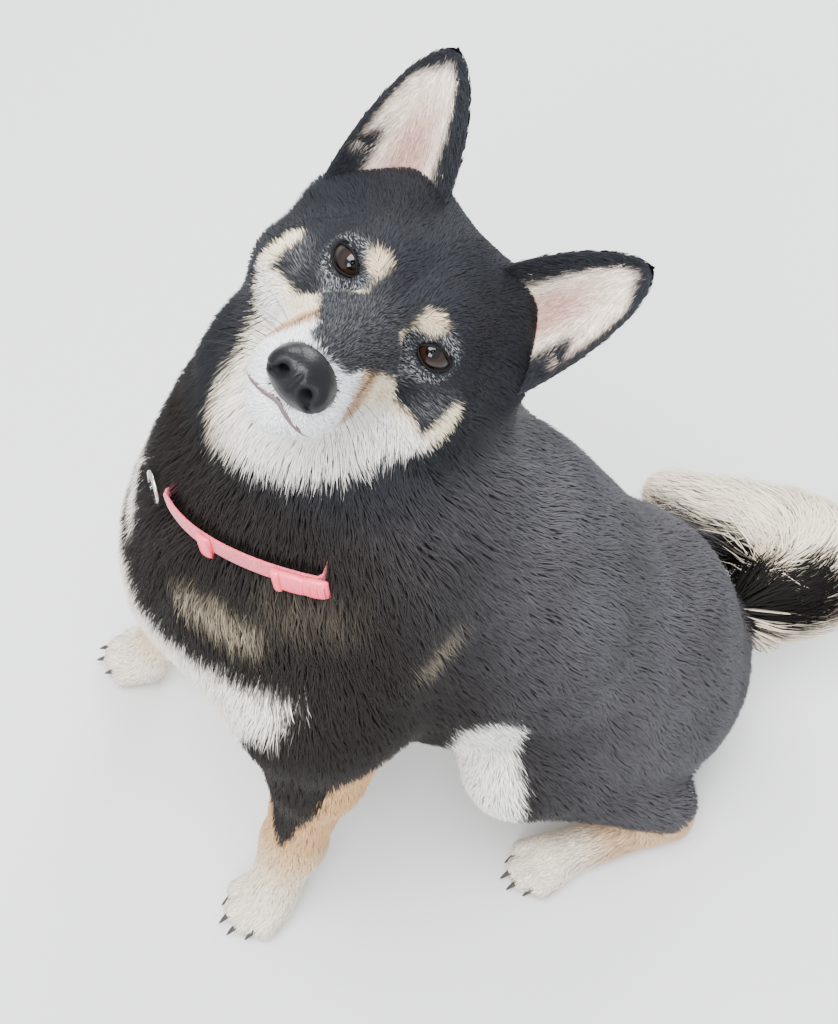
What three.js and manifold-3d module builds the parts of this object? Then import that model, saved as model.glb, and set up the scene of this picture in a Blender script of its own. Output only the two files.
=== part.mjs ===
// A shiba inu sitting on the ground, its head turned up and to its left, life size.
// Millimetres, z up. The dog faces -y, its left side is +x, and its feet and rump rest on z = 0.
// The flesh is one smooth form, made of tapered limbs and ellipsoids that flow together.
// That form is meshed once for each body part, and the parts are separated by thin cuts.
import * as THREE from 'three';
import { mergeVertices } from 'three/addons/utils/BufferGeometryUtils.js';
import loadManifold from 'manifold-3d';

const wasm = await loadManifold();
wasm.setup();

// Driving sizes.
const SEAM_GAP = 0.3;
const EYE_SPACING = 57;
const EYE_RADIUS = 10.5;
const LID_THICKNESS = 2.2;
const EYE_OPENING = { width: 17, height: 9.8, tilt: 0.2, turn: 0.3 };
const NOSE_WIDTH = 34;
const NOSE = { y: -68, z: -35 };
const COLLAR_WIDTH = 13;
const COLLAR_THICKNESS = 2.2;
const COLLAR_PLANE = { x: 0.06, y: 0.13, height: 353 };
const BUCKLE_SPAN = [-0.51, -0.22];
const SLIDER_SPAN = [-0.98, -0.9];
const RING_ANGLE = -1.474;
const RING_RADIUS = 8.5;
const CLAW_LENGTH = 9;
const TAIL_CORE = 0.5;

// The head has a frame of its own: origin midway between the eyes, x left, y back, z to the crown.
const EYES_MIDDLE = new THREE.Vector3(-18, -65, 472);
const GAZE = new THREE.Vector3(0.61, -0.37, 0.69).normalize();
const CROWN = new THREE.Vector3(-0.22, 0.77, 0.6).projectOnPlane(GAZE).normalize();
const HEAD_BACK = GAZE.clone().negate();
const HEAD_LEFT = new THREE.Vector3().crossVectors(HEAD_BACK, CROWN);
const HEAD_TURN = new THREE.Matrix4()
  .makeBasis(HEAD_LEFT, HEAD_BACK, CROWN)
  .setPosition(EYES_MIDDLE);
const HEAD_UNTURN = HEAD_TURN.clone().invert();

// Joints of the skeleton, each with its flesh radius where a limb starts or ends.
const FORELEGS = {
  left: {
    shoulder: [62, -112, 250],
    elbow: [78, -116, 188],
    wrist: [78, -130, 76],
    knuckles: [88, -148, 19],
    toes: [94, -164, 11],
  },
  right: {
    shoulder: [-76, -138, 250],
    elbow: [-84, -134, 190],
    wrist: [-95, -174, 76],
    knuckles: [-104, -194, 19],
    toes: [-111, -211, 11],
  },
};
const HIND_LEGS = {
  left: {
    hip: [44, 114, 92],
    knee: [84, 10, 136],
    hock: [98, 131, 16],
    knuckles: [108, 46, 17],
    toes: [112, 26, 11],
  },
  right: {
    hip: [-36, 114, 92],
    knee: [-78, 14, 130],
    hock: [-86, 126, 16],
    knuckles: [-102, 50, 17],
    toes: [-107, 30, 11],
  },
};
// Corners of the left ear in the frame of the head.
const EAR = {
  inner: [21, 52, 51],
  outer: [74, 60, 17],
  tip: [69, 38, 100],
};
const TAIL_CURL = [
  [7, 172, 89, 24],
  [-5, 217, 98, 32],
  [-9, 254, 107, 33],
  [-24, 270, 113, 36],
  [-43, 248, 114, 35],
  [-68, 211, 113, 28],
  [-102, 178, 112, 11],
];

// Smooth joining of forms. A form is a function of x, y, z that is negative inside the flesh.
function softMin(a, b, reach) {
  const near = Math.max(reach - Math.abs(a - b), 0) / reach;
  return Math.min(a, b) - (near * near * reach) / 4;
}

function flow(reach, first, ...others) {
  return (x, y, z) => others.reduce((d, form) => softMin(d, form(x, y, z), reach), first(x, y, z));
}

function limb([ax, ay, az], [bx, by, bz], startRadius, endRadius) {
  const [dx, dy, dz] = [bx - ax, by - ay, bz - az];
  const lengthSquared = dx * dx + dy * dy + dz * dz;
  return (x, y, z) => {
    const along = ((x - ax) * dx + (y - ay) * dy + (z - az) * dz) / lengthSquared;
    const t = Math.min(Math.max(along, 0), 1);
    const distance = Math.hypot(x - ax - t * dx, y - ay - t * dy, z - az - t * dz);
    return distance - (startRadius + t * (endRadius - startRadius));
  };
}

function ellipsoid([cx, cy, cz], [rx, ry, rz]) {
  return (x, y, z) => {
    const [px, py, pz] = [(x - cx) / rx, (y - cy) / ry, (z - cz) / rz];
    const outward = Math.hypot(px, py, pz);
    return (outward * (outward - 1)) / Math.max(Math.hypot(px / rx, py / ry, pz / rz), 1e-9);
  };
}

function hollowed(reach, form, hollow) {
  return (x, y, z) => -softMin(-form(x, y, z), hollow(x, y, z), reach);
}

function narrowed(factor, form) {
  return (x, y, z) => form(x / factor, y, z);
}

function bothSides(form) {
  return (x, y, z) => form(Math.abs(x), y, z);
}

function placedOnHead(form) {
  const e = HEAD_UNTURN.elements;
  return (x, y, z) =>
    form(
      e[0] * x + e[4] * y + e[8] * z + e[12],
      e[1] * x + e[5] * y + e[9] * z + e[13],
      e[2] * x + e[6] * y + e[10] * z + e[14],
    );
}

function headPoint(x, y, z) {
  return new THREE.Vector3(x, y, z).applyMatrix4(HEAD_TURN);
}

// The trunk: ribcage, waist and rump along the sloping back, withers, forechest and shoulders.
function trunkForm() {
  const barrel = flow(
    30,
    narrowed(0.92, limb([-16, -82, 285], [2, 0, 220], 94, 96)),
    narrowed(0.94, limb([2, 0, 220], [8, 92, 142], 96, 80)),
    narrowed(0.98, limb([8, 92, 142], [8, 126, 78], 80, 80)),
  );
  const forechest = flow(
    20,
    limb([-26, -122, 305], [-30, -138, 250], 60, 62),
    limb([-30, -138, 250], [10, -112, 226], 62, 58),
  );
  const withers = limb([-18, -66, 352], [-4, 0, 300], 52, 46);
  const leftShoulder = limb([40, -72, 335], [64, -112, 255], 42, 44);
  const rightShoulder = limb([-72, -80, 330], [-80, -138, 255], 40, 42);
  return flow(50, barrel, withers, forechest, leftShoulder, rightShoulder);
}

function neckForm() {
  const skullBack = headPoint(0, 72, -14).toArray();
  return flow(
    30,
    limb([-26, -92, 300], [-44, -82, 372], 84, 76),
    limb([-40, -66, 360], skullBack, 70, 48),
  );
}

// Four toes side by side at the end of a foot.
function toesForm({ knuckles, toes }, spread, radius) {
  const [dx, dy] = [toes[0] - knuckles[0], toes[1] - knuckles[1]];
  const length = Math.hypot(dx, dy);
  const [sideX, sideY] = [-dy / length, dx / length];
  const row = toeOffsets(spread).map(({ across, forward }) =>
    limb(
      [knuckles[0] + sideX * across * 0.7, knuckles[1] + sideY * across * 0.7, knuckles[2] - 4],
      [
        toes[0] + sideX * across + (dx / length) * forward,
        toes[1] + sideY * across + (dy / length) * forward,
        toes[2] - 0.8,
      ],
      radius,
      radius,
    ),
  );
  return flow(3, ...row);
}

function toeOffsets(spread) {
  return [-1.5, -0.5, 0.5, 1.5].map((step) => ({
    across: step * spread,
    forward: Math.abs(step) < 1 ? 5 : -3,
  }));
}

function forelegForm(leg) {
  const arm = flow(
    16,
    limb(leg.shoulder, leg.elbow, 42, 30),
    limb(leg.elbow, leg.wrist, 26, 19),
    limb(leg.wrist, leg.knuckles, 19, 18),
  );
  return flow(8, arm, limb(leg.knuckles, leg.toes, 17, 9), toesForm(leg, 9.4, 9.8));
}

function hindLegForm(leg) {
  const [x, y, z] = leg.hock;
  const thigh = flow(
    18,
    limb(leg.hip, leg.knee, 53, 33),
    limb(leg.knee, [x, y - 14, z + 28], 32, 20),
    limb([x, y - 2, z + 22], leg.hock, 17, 15.5),
  );
  const foot = flow(8, limb(leg.hock, leg.knuckles, 16.5, 15.5), toesForm(leg, 8.6, 9.4));
  return flow(12, thigh, foot);
}

// The head in its own frame: skull, cheeks, ear roots, muzzle, upper lips, lower jaw and brows.
function headForm() {
  const skull = flow(
    22,
    ellipsoid([0, 52, 0], [56, 54, 50]),
    bothSides(ellipsoid([36, 46, -26], [38, 42, 36])),
    bothSides(limb([34, 66, 30], [60, 66, 4], 20, 17)),
    limb([0, 30, -50], [0, -20, -50], 30, 20),
  );
  const muzzle = flow(
    12,
    limb([0, -2, -22], [0, -56, -32], 29, 18.5),
    bothSides(limb([9, -8, -38], [10, -52, -43], 21, 15)),
    limb([0, 0, -54], [0, -50, -56], 19, 15),
  );
  const brows = bothSides(ellipsoid([20, 13, 14], [19, 15, 13]));
  const orbit = bothSides(ellipsoid([32, -7, -1], [15, 10, 11]));
  return placedOnHead(hollowed(7, flow(16, skull, muzzle, brows), orbit));
}

function dogForm() {
  const upper = flow(40, trunkForm(), neckForm());
  const withForelegs = flow(22, upper, forelegForm(FORELEGS.left), forelegForm(FORELEGS.right));
  const withLegs = flow(24, withForelegs, hindLegForm(HIND_LEGS.left), hindLegForm(HIND_LEGS.right));
  return flow(16, withLegs, headForm());
}

// Grid lines along one axis: close together between fineFrom and fineTo, wider elsewhere.
function gridLines(from, to, cell, fineFrom = 0, fineTo = 0, fineCell = cell) {
  const lines = [from];
  while (lines.at(-1) < to) {
    const here = lines.at(-1);
    lines.push(here + (here >= fineFrom && here < fineTo ? fineCell : cell));
  }
  return lines;
}

// Meshes a form, on a grid that is shifted until no two sheets of the surface share an edge.
function meshForm(form, grid) {
  for (let shift = 0; shift < 12; shift++) {
    const shifted = grid.map((lines) => lines.map((line) => line - 0.9 * shift));
    const { positions, triangles } = surfaceNet(form, shifted);
    if (isTwoSided(triangles)) return closedSolid(positions, triangles);
  }
  throw new Error('the surface touches itself on every grid');
}

// Whether each edge of the triangles is passed exactly once in each direction.
function isTwoSided(triangles) {
  const passed = new Set();
  for (let i = 0; i < triangles.length; i += 3) {
    for (const [from, to] of [[0, 1], [1, 2], [2, 0]]) {
      const edge = triangles[i + from] * 1e6 + triangles[i + to];
      if (passed.has(edge)) return false;
      passed.add(edge);
    }
  }
  return true;
}

// A net with one vertex in each grid cell that the surface crosses.
function surfaceNet(form, [xs, ys, zs]) {
  const [nx, ny, nz] = [xs.length, ys.length, zs.length];
  const index = (i, j, k) => (i * ny + j) * nz + k;
  const values = new Float32Array(nx * ny * nz);
  for (let i = 0; i < nx; i++) {
    for (let j = 0; j < ny; j++) {
      for (let k = 0; k < nz; k++) {
        const onBorder = i === 0 || j === 0 || k === 0 || i === nx - 1 || j === ny - 1 || k === nz - 1;
        values[index(i, j, k)] = onBorder ? 1 : form(xs[i], ys[j], zs[k]);
      }
    }
  }
  const corners = [0, 1, 2, 3, 4, 5, 6, 7].map((c) => [c & 1, (c >> 1) & 1, (c >> 2) & 1]);
  const edges = [];
  for (let a = 0; a < 8; a++) {
    for (const bit of [1, 2, 4]) {
      if (!(a & bit)) edges.push([a, a | bit]);
    }
  }
  const vertexOf = new Int32Array(values.length).fill(-1);
  const positions = [];
  for (let i = 0; i < nx - 1; i++) {
    for (let j = 0; j < ny - 1; j++) {
      for (let k = 0; k < nz - 1; k++) {
        const sample = corners.map(([a, b, c]) => values[index(i + a, j + b, k + c)]);
        const crossings = edges.filter(([a, b]) => sample[a] < 0 !== sample[b] < 0);
        if (!crossings.length) continue;
        const sum = [0, 0, 0];
        for (const [a, b] of crossings) {
          const t = sample[a] / (sample[a] - sample[b]);
          for (let axis = 0; axis < 3; axis++) {
            sum[axis] += corners[a][axis] + t * (corners[b][axis] - corners[a][axis]);
          }
        }
        const [u, v, w] = sum.map((s) => s / crossings.length);
        vertexOf[index(i, j, k)] = positions.length / 3;
        positions.push(
          xs[i] + u * (xs[i + 1] - xs[i]),
          ys[j] + v * (ys[j + 1] - ys[j]),
          zs[k] + w * (zs[k + 1] - zs[k]),
        );
      }
    }
  }
  drawOntoSurface(form, positions);
  const quads = gridQuads(values, vertexOf, [nx, ny, nz]);
  return { positions, triangles: quadsToTriangles(positions, quads) };
}

// One quad for each grid edge whose ends lie on different sides of the surface.
function gridQuads(values, vertexOf, size) {
  const index = ([i, j, k]) => (i * size[1] + j) * size[2] + k;
  const quads = [];
  for (let axis = 0; axis < 3; axis++) {
    const [second, third] = [(axis + 1) % 3, (axis + 2) % 3];
    const at = [0, 0, 0];
    for (at[axis] = 0; at[axis] < size[axis] - 1; at[axis]++) {
      for (at[second] = 1; at[second] < size[second] - 1; at[second]++) {
        for (at[third] = 1; at[third] < size[third] - 1; at[third]++) {
          const next = [...at];
          next[axis]++;
          const startsInside = values[index(at)] < 0;
          if (startsInside === values[index(next)] < 0) continue;
          const quad = [[1, 1], [0, 1], [0, 0], [1, 0]].map(([a, b]) => {
            const cell = [...at];
            cell[second] -= a;
            cell[third] -= b;
            return vertexOf[index(cell)];
          });
          quads.push(startsInside ? quad : quad.reverse());
        }
      }
    }
  }
  return quads;
}

function quadsToTriangles(positions, quads) {
  const distance = (a, b) =>
    Math.hypot(...[0, 1, 2].map((axis) => positions[3 * a + axis] - positions[3 * b + axis]));
  return quads.flatMap(([a, b, c, d]) =>
    distance(a, c) <= distance(b, d) ? [a, b, c, a, c, d] : [b, c, d, b, d, a],
  );
}

// Moves each vertex down or up the slope of the form until it lies on the surface.
function drawOntoSurface(form, positions) {
  const step = 0.5;
  for (let i = 0; i < positions.length; i += 3) {
    for (let round = 0; round < 2; round++) {
      const [x, y, z] = positions.slice(i, i + 3);
      const value = form(x, y, z);
      const slope = [
        (form(x + step, y, z) - form(x - step, y, z)) / (2 * step),
        (form(x, y + step, z) - form(x, y - step, z)) / (2 * step),
        (form(x, y, z + step) - form(x, y, z - step)) / (2 * step),
      ];
      const steepness = slope[0] ** 2 + slope[1] ** 2 + slope[2] ** 2;
      const move = Math.min(Math.max(value / Math.max(steepness, 0.6), -1.5), 1.5);
      slope.forEach((s, axis) => {
        positions[i + axis] -= move * s;
      });
    }
  }
}

function closedSolid(positions, triangles) {
  const mesh = new wasm.Mesh({
    numProp: 3,
    vertProperties: Float32Array.from(positions),
    triVerts: Uint32Array.from(triangles),
  });
  return new wasm.Manifold(mesh);
}

function solidOf(geometry) {
  const plain = geometry.clone();
  plain.deleteAttribute('normal');
  plain.deleteAttribute('uv');
  const merged = mergeVertices(plain, 1e-4);
  return closedSolid(merged.attributes.position.array, merged.index.array);
}

function geometryOf(solid) {
  const { vertProperties, triVerts } = solid.getMesh();
  const geometry = new THREE.BufferGeometry();
  geometry.setAttribute('position', new THREE.BufferAttribute(Float32Array.from(vertProperties), 3));
  geometry.setIndex(new THREE.BufferAttribute(Uint32Array.from(triVerts), 1));
  geometry.computeVertexNormals();
  return geometry;
}

// The same solid, a little larger all round, as the cutter for the socket it sits in.
function socketOf(solid, gap = 1.2 * SEAM_GAP) {
  const geometry = geometryOf(solid);
  const { position, normal } = geometry.attributes;
  for (let i = 0; i < position.count; i++) {
    position.setXYZ(
      i,
      position.getX(i) + gap * normal.getX(i),
      position.getY(i) + gap * normal.getY(i),
      position.getZ(i) + gap * normal.getZ(i),
    );
  }
  return solidOf(geometry);
}

// A solid skinned over closed rings of points; its ends are closed by fans, or joined for a loop.
// With a tip the last ring runs out to that point.
function skinRings(rings, isLoop = false, tip = null) {
  const count = rings[0].length;
  const positions = rings.flatMap((ring) => ring.flatMap((p) => [p.x, p.y, p.z]));
  const triangles = [];
  const spans = isLoop ? rings.length : rings.length - 1;
  for (let r = 0; r < spans; r++) {
    const here = r * count;
    const there = ((r + 1) % rings.length) * count;
    for (let i = 0; i < count; i++) {
      const next = (i + 1) % count;
      triangles.push(here + i, here + next, there + next, here + i, there + next, there + i);
    }
  }
  if (!isLoop) {
    [rings[0], rings.at(-1)].forEach((ring, end) => {
      const centre = ring.reduce((sum, p) => sum.add(p), new THREE.Vector3()).divideScalar(count);
      const middle = end && tip ? tip : centre;
      const hub = positions.length / 3;
      positions.push(middle.x, middle.y, middle.z);
      const first = end ? (rings.length - 1) * count : 0;
      for (let i = 0; i < count; i++) {
        const next = (i + 1) % count;
        triangles.push(...(end ? [hub, first + i, first + next] : [hub, first + next, first + i]));
      }
    });
  }
  const solid = closedSolid(positions, triangles);
  return solid.volume() > 0 ? solid : closedSolid(positions, triangles.reverse());
}

// A round bar along a path, with a radius for every point.
function barAlong(points, radii, sides = 10) {
  const path = new THREE.CatmullRomCurve3(points);
  const frames = path.computeFrenetFrames(radii.length - 1);
  const rings = radii.map((radius, i) => {
    const centre = path.getPointAt(i / (radii.length - 1));
    return Array.from({ length: sides }, (_, s) => {
      const angle = (2 * Math.PI * s) / sides;
      return centre
        .clone()
        .addScaledVector(frames.normals[i], radius * Math.cos(angle))
        .addScaledVector(frames.binormals[i], radius * Math.sin(angle));
    });
  });
  return skinRings(rings);
}

// Seeded random numbers from 0 to 1.
function randomFrom(seed) {
  let state = seed;
  return () => {
    state = (state * 1664525 + 1013904223) % 4294967296;
    return state / 4294967296;
  };
}

// The nearest surface point of a form, and the direction out of the flesh there.
function onSurface(form, start) {
  const point = start.clone();
  const outward = new THREE.Vector3();
  const step = 0.5;
  for (let round = 0; round < 8; round++) {
    const { x, y, z } = point;
    outward.set(
      form(x + step, y, z) - form(x - step, y, z),
      form(x, y + step, z) - form(x, y - step, z),
      form(x, y, z + step) - form(x, y, z - step),
    );
    outward.normalize();
    point.addScaledVector(outward, -form(x, y, z) * 0.9);
  }
  return { point, outward };
}

// A lock of hair: flat and tapered, rooted in the flesh and bending over along the lie of the coat.
function lockOfHair({ point, outward }, lie, { length, width, thickness, lift, sink }) {
  const along = lie.clone().projectOnPlane(outward).normalize();
  const side = new THREE.Vector3().crossVectors(outward, along);
  const centreAt = (s) =>
    point
      .clone()
      .addScaledVector(along, length * s)
      .addScaledVector(outward, lift - (lift + sink) * (1 - s) ** 2);
  const rings = [0, 0.4, 0.75].map((s, i) => {
    const centre = centreAt(s);
    const run = centreAt(s + 0.05).sub(centreAt(s - 0.05)).normalize();
    const over = new THREE.Vector3().crossVectors(run, side);
    const halfWidth = (width / 2) * [0.8, 1, 0.62][i];
    const halfThick = (thickness / 2) * [1, 0.9, 0.6][i];
    return [
      centre.clone().addScaledVector(side, halfWidth),
      centre.clone().addScaledVector(over, halfThick),
      centre.clone().addScaledVector(side, -halfWidth),
      centre.clone().addScaledVector(over, -halfThick),
    ];
  });
  return skinRings(rings, false, centreAt(1));
}

// A big block whose one face passes through a point, with all of it on the side of the direction.
function blockBeyond(point, direction, offset = 0) {
  const size = 1200;
  const outward = direction.clone().normalize();
  const turn = new THREE.Quaternion().setFromUnitVectors(new THREE.Vector3(0, 0, 1), outward);
  const centre = point.clone().addScaledVector(outward, offset + size / 2);
  const block = new THREE.BoxGeometry(size, size, size);
  block.applyQuaternion(turn).translate(centre.x, centre.y, centre.z);
  return solidOf(block);
}

function boxBetween([x0, y0, z0], [x1, y1, z1], grow = 0) {
  const box = new THREE.BoxGeometry(x1 - x0 + 2 * grow, y1 - y0 + 2 * grow, z1 - z0 + 2 * grow);
  return solidOf(box.translate((x0 + x1) / 2, (y0 + y1) / 2, (z0 + z1) / 2));
}

// The seams between the parts of the body.
const HEAD_SEAM = { point: new THREE.Vector3(-30, -100, 388), normal: new THREE.Vector3(0, -0.1, 1) };
const NECK_SEAM = { point: new THREE.Vector3(-30, -85, 315), normal: new THREE.Vector3(-0.05, -0.25, 1) };
const LEG_BOXES = {
  leg_front_left: [[38, -215, -20], [135, -75, 160]],
  leg_front_right: [[-150, -260, -20], [-52, -95, 160]],
  leg_hind_left: [[46, -45, -20], [150, 175, 42]],
  leg_hind_right: [[-150, -45, -20], [-38, 175, 42]],
  thigh_left: [[46, -45, 42], [150, 175, 178]],
  thigh_right: [[-150, -45, 42], [-38, 175, 172]],
};

// What is cut away from the parts on either side of a seam, which leaves the gap between them.
function above(seam) {
  return blockBeyond(seam.point, seam.normal, -SEAM_GAP / 2);
}

function below(seam) {
  return blockBeyond(seam.point, seam.normal.clone().negate(), -SEAM_GAP / 2);
}

const dog = dogForm();
const ground = blockBeyond(new THREE.Vector3(0, 0, 0), new THREE.Vector3(0, 0, -1));

function trunkSolid() {
  const grid = [gridLines(-150, 160, 19.5), gridLines(-240, 250, 19.5), gridLines(-24, 410, 19.5)];
  let trunk = meshForm(dog, grid).subtract(above(NECK_SEAM));
  for (const [low, high] of Object.values(LEG_BOXES)) {
    trunk = trunk.subtract(boxBetween(low, high));
  }
  return trunk.subtract(ground);
}

function neckSolid() {
  const grid = [gridLines(-155, 120, 18.5), gridLines(-228, 80, 18.5), gridLines(256, 440, 18.5)];
  return meshForm(dog, grid).subtract(above(HEAD_SEAM)).subtract(below(NECK_SEAM));
}

// The mesh is finer over the toes than up the leg.
function legSolid(name, { knuckles, toes }) {
  const [low, high] = LEG_BOXES[name];
  const middle = (knuckles[0] + toes[0]) / 2;
  const grid = [
    gridLines(low[0] - 14, high[0] + 14, 12, middle - 24, middle + 20, 8),
    gridLines(low[1] - 19, high[1] + 16, 15, toes[1] - 16, knuckles[1] + 6, 8),
    gridLines(-8, high[2] + 18, 16, -8, 28, 6.5),
  ];
  const leg = meshForm(dog, grid).intersect(boxBetween(low, high, -SEAM_GAP));
  return leg.subtract(ground);
}

function thighSolid(name) {
  const [low, high] = LEG_BOXES[name];
  const grid = [0, 1, 2].map((axis) => gridLines(low[axis] - 22, high[axis] + 18, 17));
  return meshForm(dog, grid).intersect(boxBetween(low, high, -SEAM_GAP));
}

// The tail curls to the right behind the rump and meets it only at its root.
// Its long hair is in locks that lie along it and stand out to the full radius.
function tailSolid(trunk, thigh) {
  const random = randomFrom(7);
  const coreStations = Array.from({ length: 9 }, (_, i) => tailStation(i / 8.4));
  const coreLine = coreStations.map(({ centre }) => centre);
  const coreRadii = coreStations.map(({ radius }) => radius * TAIL_CORE);
  let tail = barAlong(coreLine, coreRadii, 8);
  const rows = 6;
  const count = 4;
  for (let row = 0; row < rows; row++) {
    const u = 0.06 + (0.84 * row) / (rows - 1);
    const { centre, radius, along } = tailStation(u);
    const upward = new THREE.Vector3(0, 0, 1).projectOnPlane(along).normalize();
    const sideways = new THREE.Vector3().crossVectors(along, upward);
    for (let i = 0; i < count; i++) {
      const angle = (2 * Math.PI * (i + 0.5 * (row % 2) + 0.3 * (random() - 0.5))) / count;
      const outward = upward
        .clone()
        .multiplyScalar(Math.cos(angle))
        .addScaledVector(sideways, Math.sin(angle));
      const point = centre.clone().addScaledVector(outward, radius * TAIL_CORE);
      const hair = lockOfHair({ point, outward }, along, {
        length: Math.min(66, 250 * (1.08 - u)) * (0.9 + 0.2 * random()),
        width: (2.1 * Math.PI * radius * 0.78) / count,
        thickness: 13,
        lift: radius * (1 - TAIL_CORE) * (0.74 + 0.14 * random()),
        sink: 4,
      });
      tail = tail.add(hair);
    }
  }
  return tail.subtract(socketOf(trunk)).subtract(socketOf(thigh));
}

// Middle, radius and direction of the tail at a fraction of its length.
function tailStation(u) {
  const path = new THREE.CatmullRomCurve3(TAIL_CURL.map(([x, y, z]) => new THREE.Vector3(x, y, z)));
  const place = u * (TAIL_CURL.length - 1);
  const i = Math.min(Math.floor(place), TAIL_CURL.length - 2);
  const radius = TAIL_CURL[i][3] + (place - i) * (TAIL_CURL[i + 1][3] - TAIL_CURL[i][3]);
  return { centre: path.getPoint(u), radius, along: path.getTangent(u) };
}

// A claw curves down and forward from the tip of each toe.
function clawSolids({ toes, knuckles }, spread, radius) {
  const forward = new THREE.Vector3(toes[0] - knuckles[0], toes[1] - knuckles[1], 0).normalize();
  const side = new THREE.Vector3(-forward.y, forward.x, 0);
  return toeOffsets(spread).map(({ across, forward: ahead }) => {
    const tip = new THREE.Vector3(toes[0], toes[1], toes[2] + 1)
      .addScaledVector(side, across)
      .addScaledVector(forward, ahead + radius - 3.5);
    const points = [0, 0.5, 1].map((t) =>
      tip
        .clone()
        .addScaledVector(forward, t * CLAW_LENGTH)
        .add(new THREE.Vector3(0, 0, -5.5 * t * t)),
    );
    return barAlong(points, [2.6, 2.1, 0.5], 4);
  });
}

// Head, in the head's own frame until it is turned into place.
function headSolid() {
  const localDog = (x, y, z) => dog(...headPoint(x, y, z).toArray());
  const grid = [
    gridLines(-98, 100, 12, -40, 34, 7),
    gridLines(-94, 146, 12, -94, 6, 6.8),
    gridLines(-132, 80, 12, -66, 18, 6.8),
  ];
  let head = meshForm(localDog, grid);
  for (const lock of cheekLocks(localDog)) {
    head = head.add(lock);
  }
  eyeCentres().forEach((centre, i) => {
    const side = i ? -1 : 1;
    head = head
      .add(sphereAt(centre, EYE_RADIUS + LID_THICKNESS, 2))
      .subtract(eyeOpening(centre, side))
      .add(lidRim(centre, side))
      .subtract(sphereAt(centre, EYE_RADIUS + SEAM_GAP, 2));
  });
  return head
    .subtract(mouthLine(localDog))
    .subtract(socketOf(noseLeather()))
    .subtract(socketOf(earSolid(1, true)))
    .subtract(socketOf(earSolid(-1, true)));
}

// The ruff that hangs from the cheeks, in rows of locks that lie back and down.
function cheekLocks(form) {
  const random = randomFrom(21);
  const locks = [];
  for (const side of [1, -1]) {
    for (let row = 0; row < 2; row++) {
      for (let i = 0; i < 4 - 2 * row; i++) {
        const height = -12 - 19 * (i + 0.5 * row) + 5 * (random() - 0.5);
        const guess = new THREE.Vector3(side * (78 - 8 * i), 18 + 24 * row + 3 * i, height);
        const lie = new THREE.Vector3(side * (0.8 - 0.12 * i), 1, -0.55 - 0.1 * i);
        locks.push(lockOfHair(onSurface(form, guess), lie, {
          length: 33 + 6 * random(),
          width: 25,
          thickness: 8,
          lift: 4 + 2 * random(),
          sink: 6,
        }));
      }
    }
  }
  return locks;
}

function eyeCentres() {
  return [1, -1].map((side) => new THREE.Vector3((side * EYE_SPACING) / 2, 12, 0));
}

function sphereAt(centre, radius, detail) {
  const sphere = new THREE.IcosahedronGeometry(radius, detail);
  return solidOf(sphere.translate(centre.x, centre.y, centre.z));
}

// The almond between the lids, scaled, at a distance in front of the eye's middle.
function almond(centre, side, count, scale, distanceOf) {
  const { width, height, tilt, turn } = EYE_OPENING;
  return Array.from({ length: count }, (_, i) => {
    const angle = (2 * Math.PI * i) / count;
    const across = scale * (width / 2) * Math.cos(angle);
    const up = scale * (height / 2) * Math.sin(angle) * (1 - 0.35 * Math.cos(angle) ** 2);
    const a = across * Math.cos(tilt) - up * Math.sin(tilt);
    const b = across * Math.sin(tilt) + up * Math.cos(tilt);
    const forward = distanceOf(a, b);
    return new THREE.Vector3(
      centre.x + side * (a * Math.cos(turn) + forward * Math.sin(turn)),
      centre.y + a * Math.sin(turn) - forward * Math.cos(turn),
      centre.z + b,
    );
  });
}

function eyeOpening(centre, side) {
  const rings = [[1, 2], [1, EYE_RADIUS], [1.6, EYE_RADIUS + 16]].map(([scale, distance]) =>
    almond(centre, side, 14, scale, () => distance),
  );
  return skinRings(rings);
}

// The edge of both lids, a soft bar that follows the almond over the eyeball.
function lidRim(centre, side) {
  const reach = EYE_RADIUS + SEAM_GAP + 1;
  const count = 14;
  const line = almond(centre, side, count, 1.08, (a, b) => Math.sqrt(reach ** 2 - a ** 2 - b ** 2));
  const rings = line.map((p, i) => {
    const run = line[(i + 1) % count].clone().sub(line[(i + count - 1) % count]).normalize();
    const out = p.clone().sub(centre).projectOnPlane(run).normalize();
    const across = new THREE.Vector3().crossVectors(run, out);
    return Array.from({ length: 4 }, (_, s) => {
      const angle = (2 * Math.PI * s) / 4;
      return p
        .clone()
        .addScaledVector(out, 1.5 * Math.cos(angle))
        .addScaledVector(across, 1.7 * Math.sin(angle));
    });
  });
  return skinRings(rings, true);
}

// A fine groove between upper lip and jaw, from one mouth corner round the front to the other.
function mouthLine(form) {
  const halfLine = [
    [32, -10, -48],
    [29, -26, -54],
    [25, -42, -56],
    [18, -58, -55],
    [8, -69, -54],
  ];
  const line = [...halfLine, [0, -73, -53], ...halfLine.map(([x, y, z]) => [-x, y, z]).reverse()];
  const flat = line.flat();
  drawOntoSurface(form, flat);
  const points = line.map((_, i) => new THREE.Vector3(...flat.slice(3 * i, 3 * i + 3)));
  const radii = Array.from({ length: 15 }, (_, i) => (i === 0 || i === 14 ? 0.5 : 1.5));
  return barAlong(points, radii, 4);
}

// Nose leather: a rounded block, wider above, with two comma-shaped nostrils.
function noseLeather() {
  const half = NOSE_WIDTH / 2;
  const leather = (x, y, z) => {
    const taper = 1 - 0.014 * (z - NOSE.z);
    return ellipsoid([0, NOSE.y, NOSE.z], [half, 13, 14])(x * Math.max(taper, 0.7) ** -0.4, y, z);
  };
  const cell = 5.6;
  const grid = [
    gridLines(-22, 22, cell),
    gridLines(NOSE.y - 18, NOSE.y + 18, cell),
    gridLines(NOSE.z - 18, NOSE.z + 18, cell),
  ];
  return meshForm(leather, grid);
}

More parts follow.
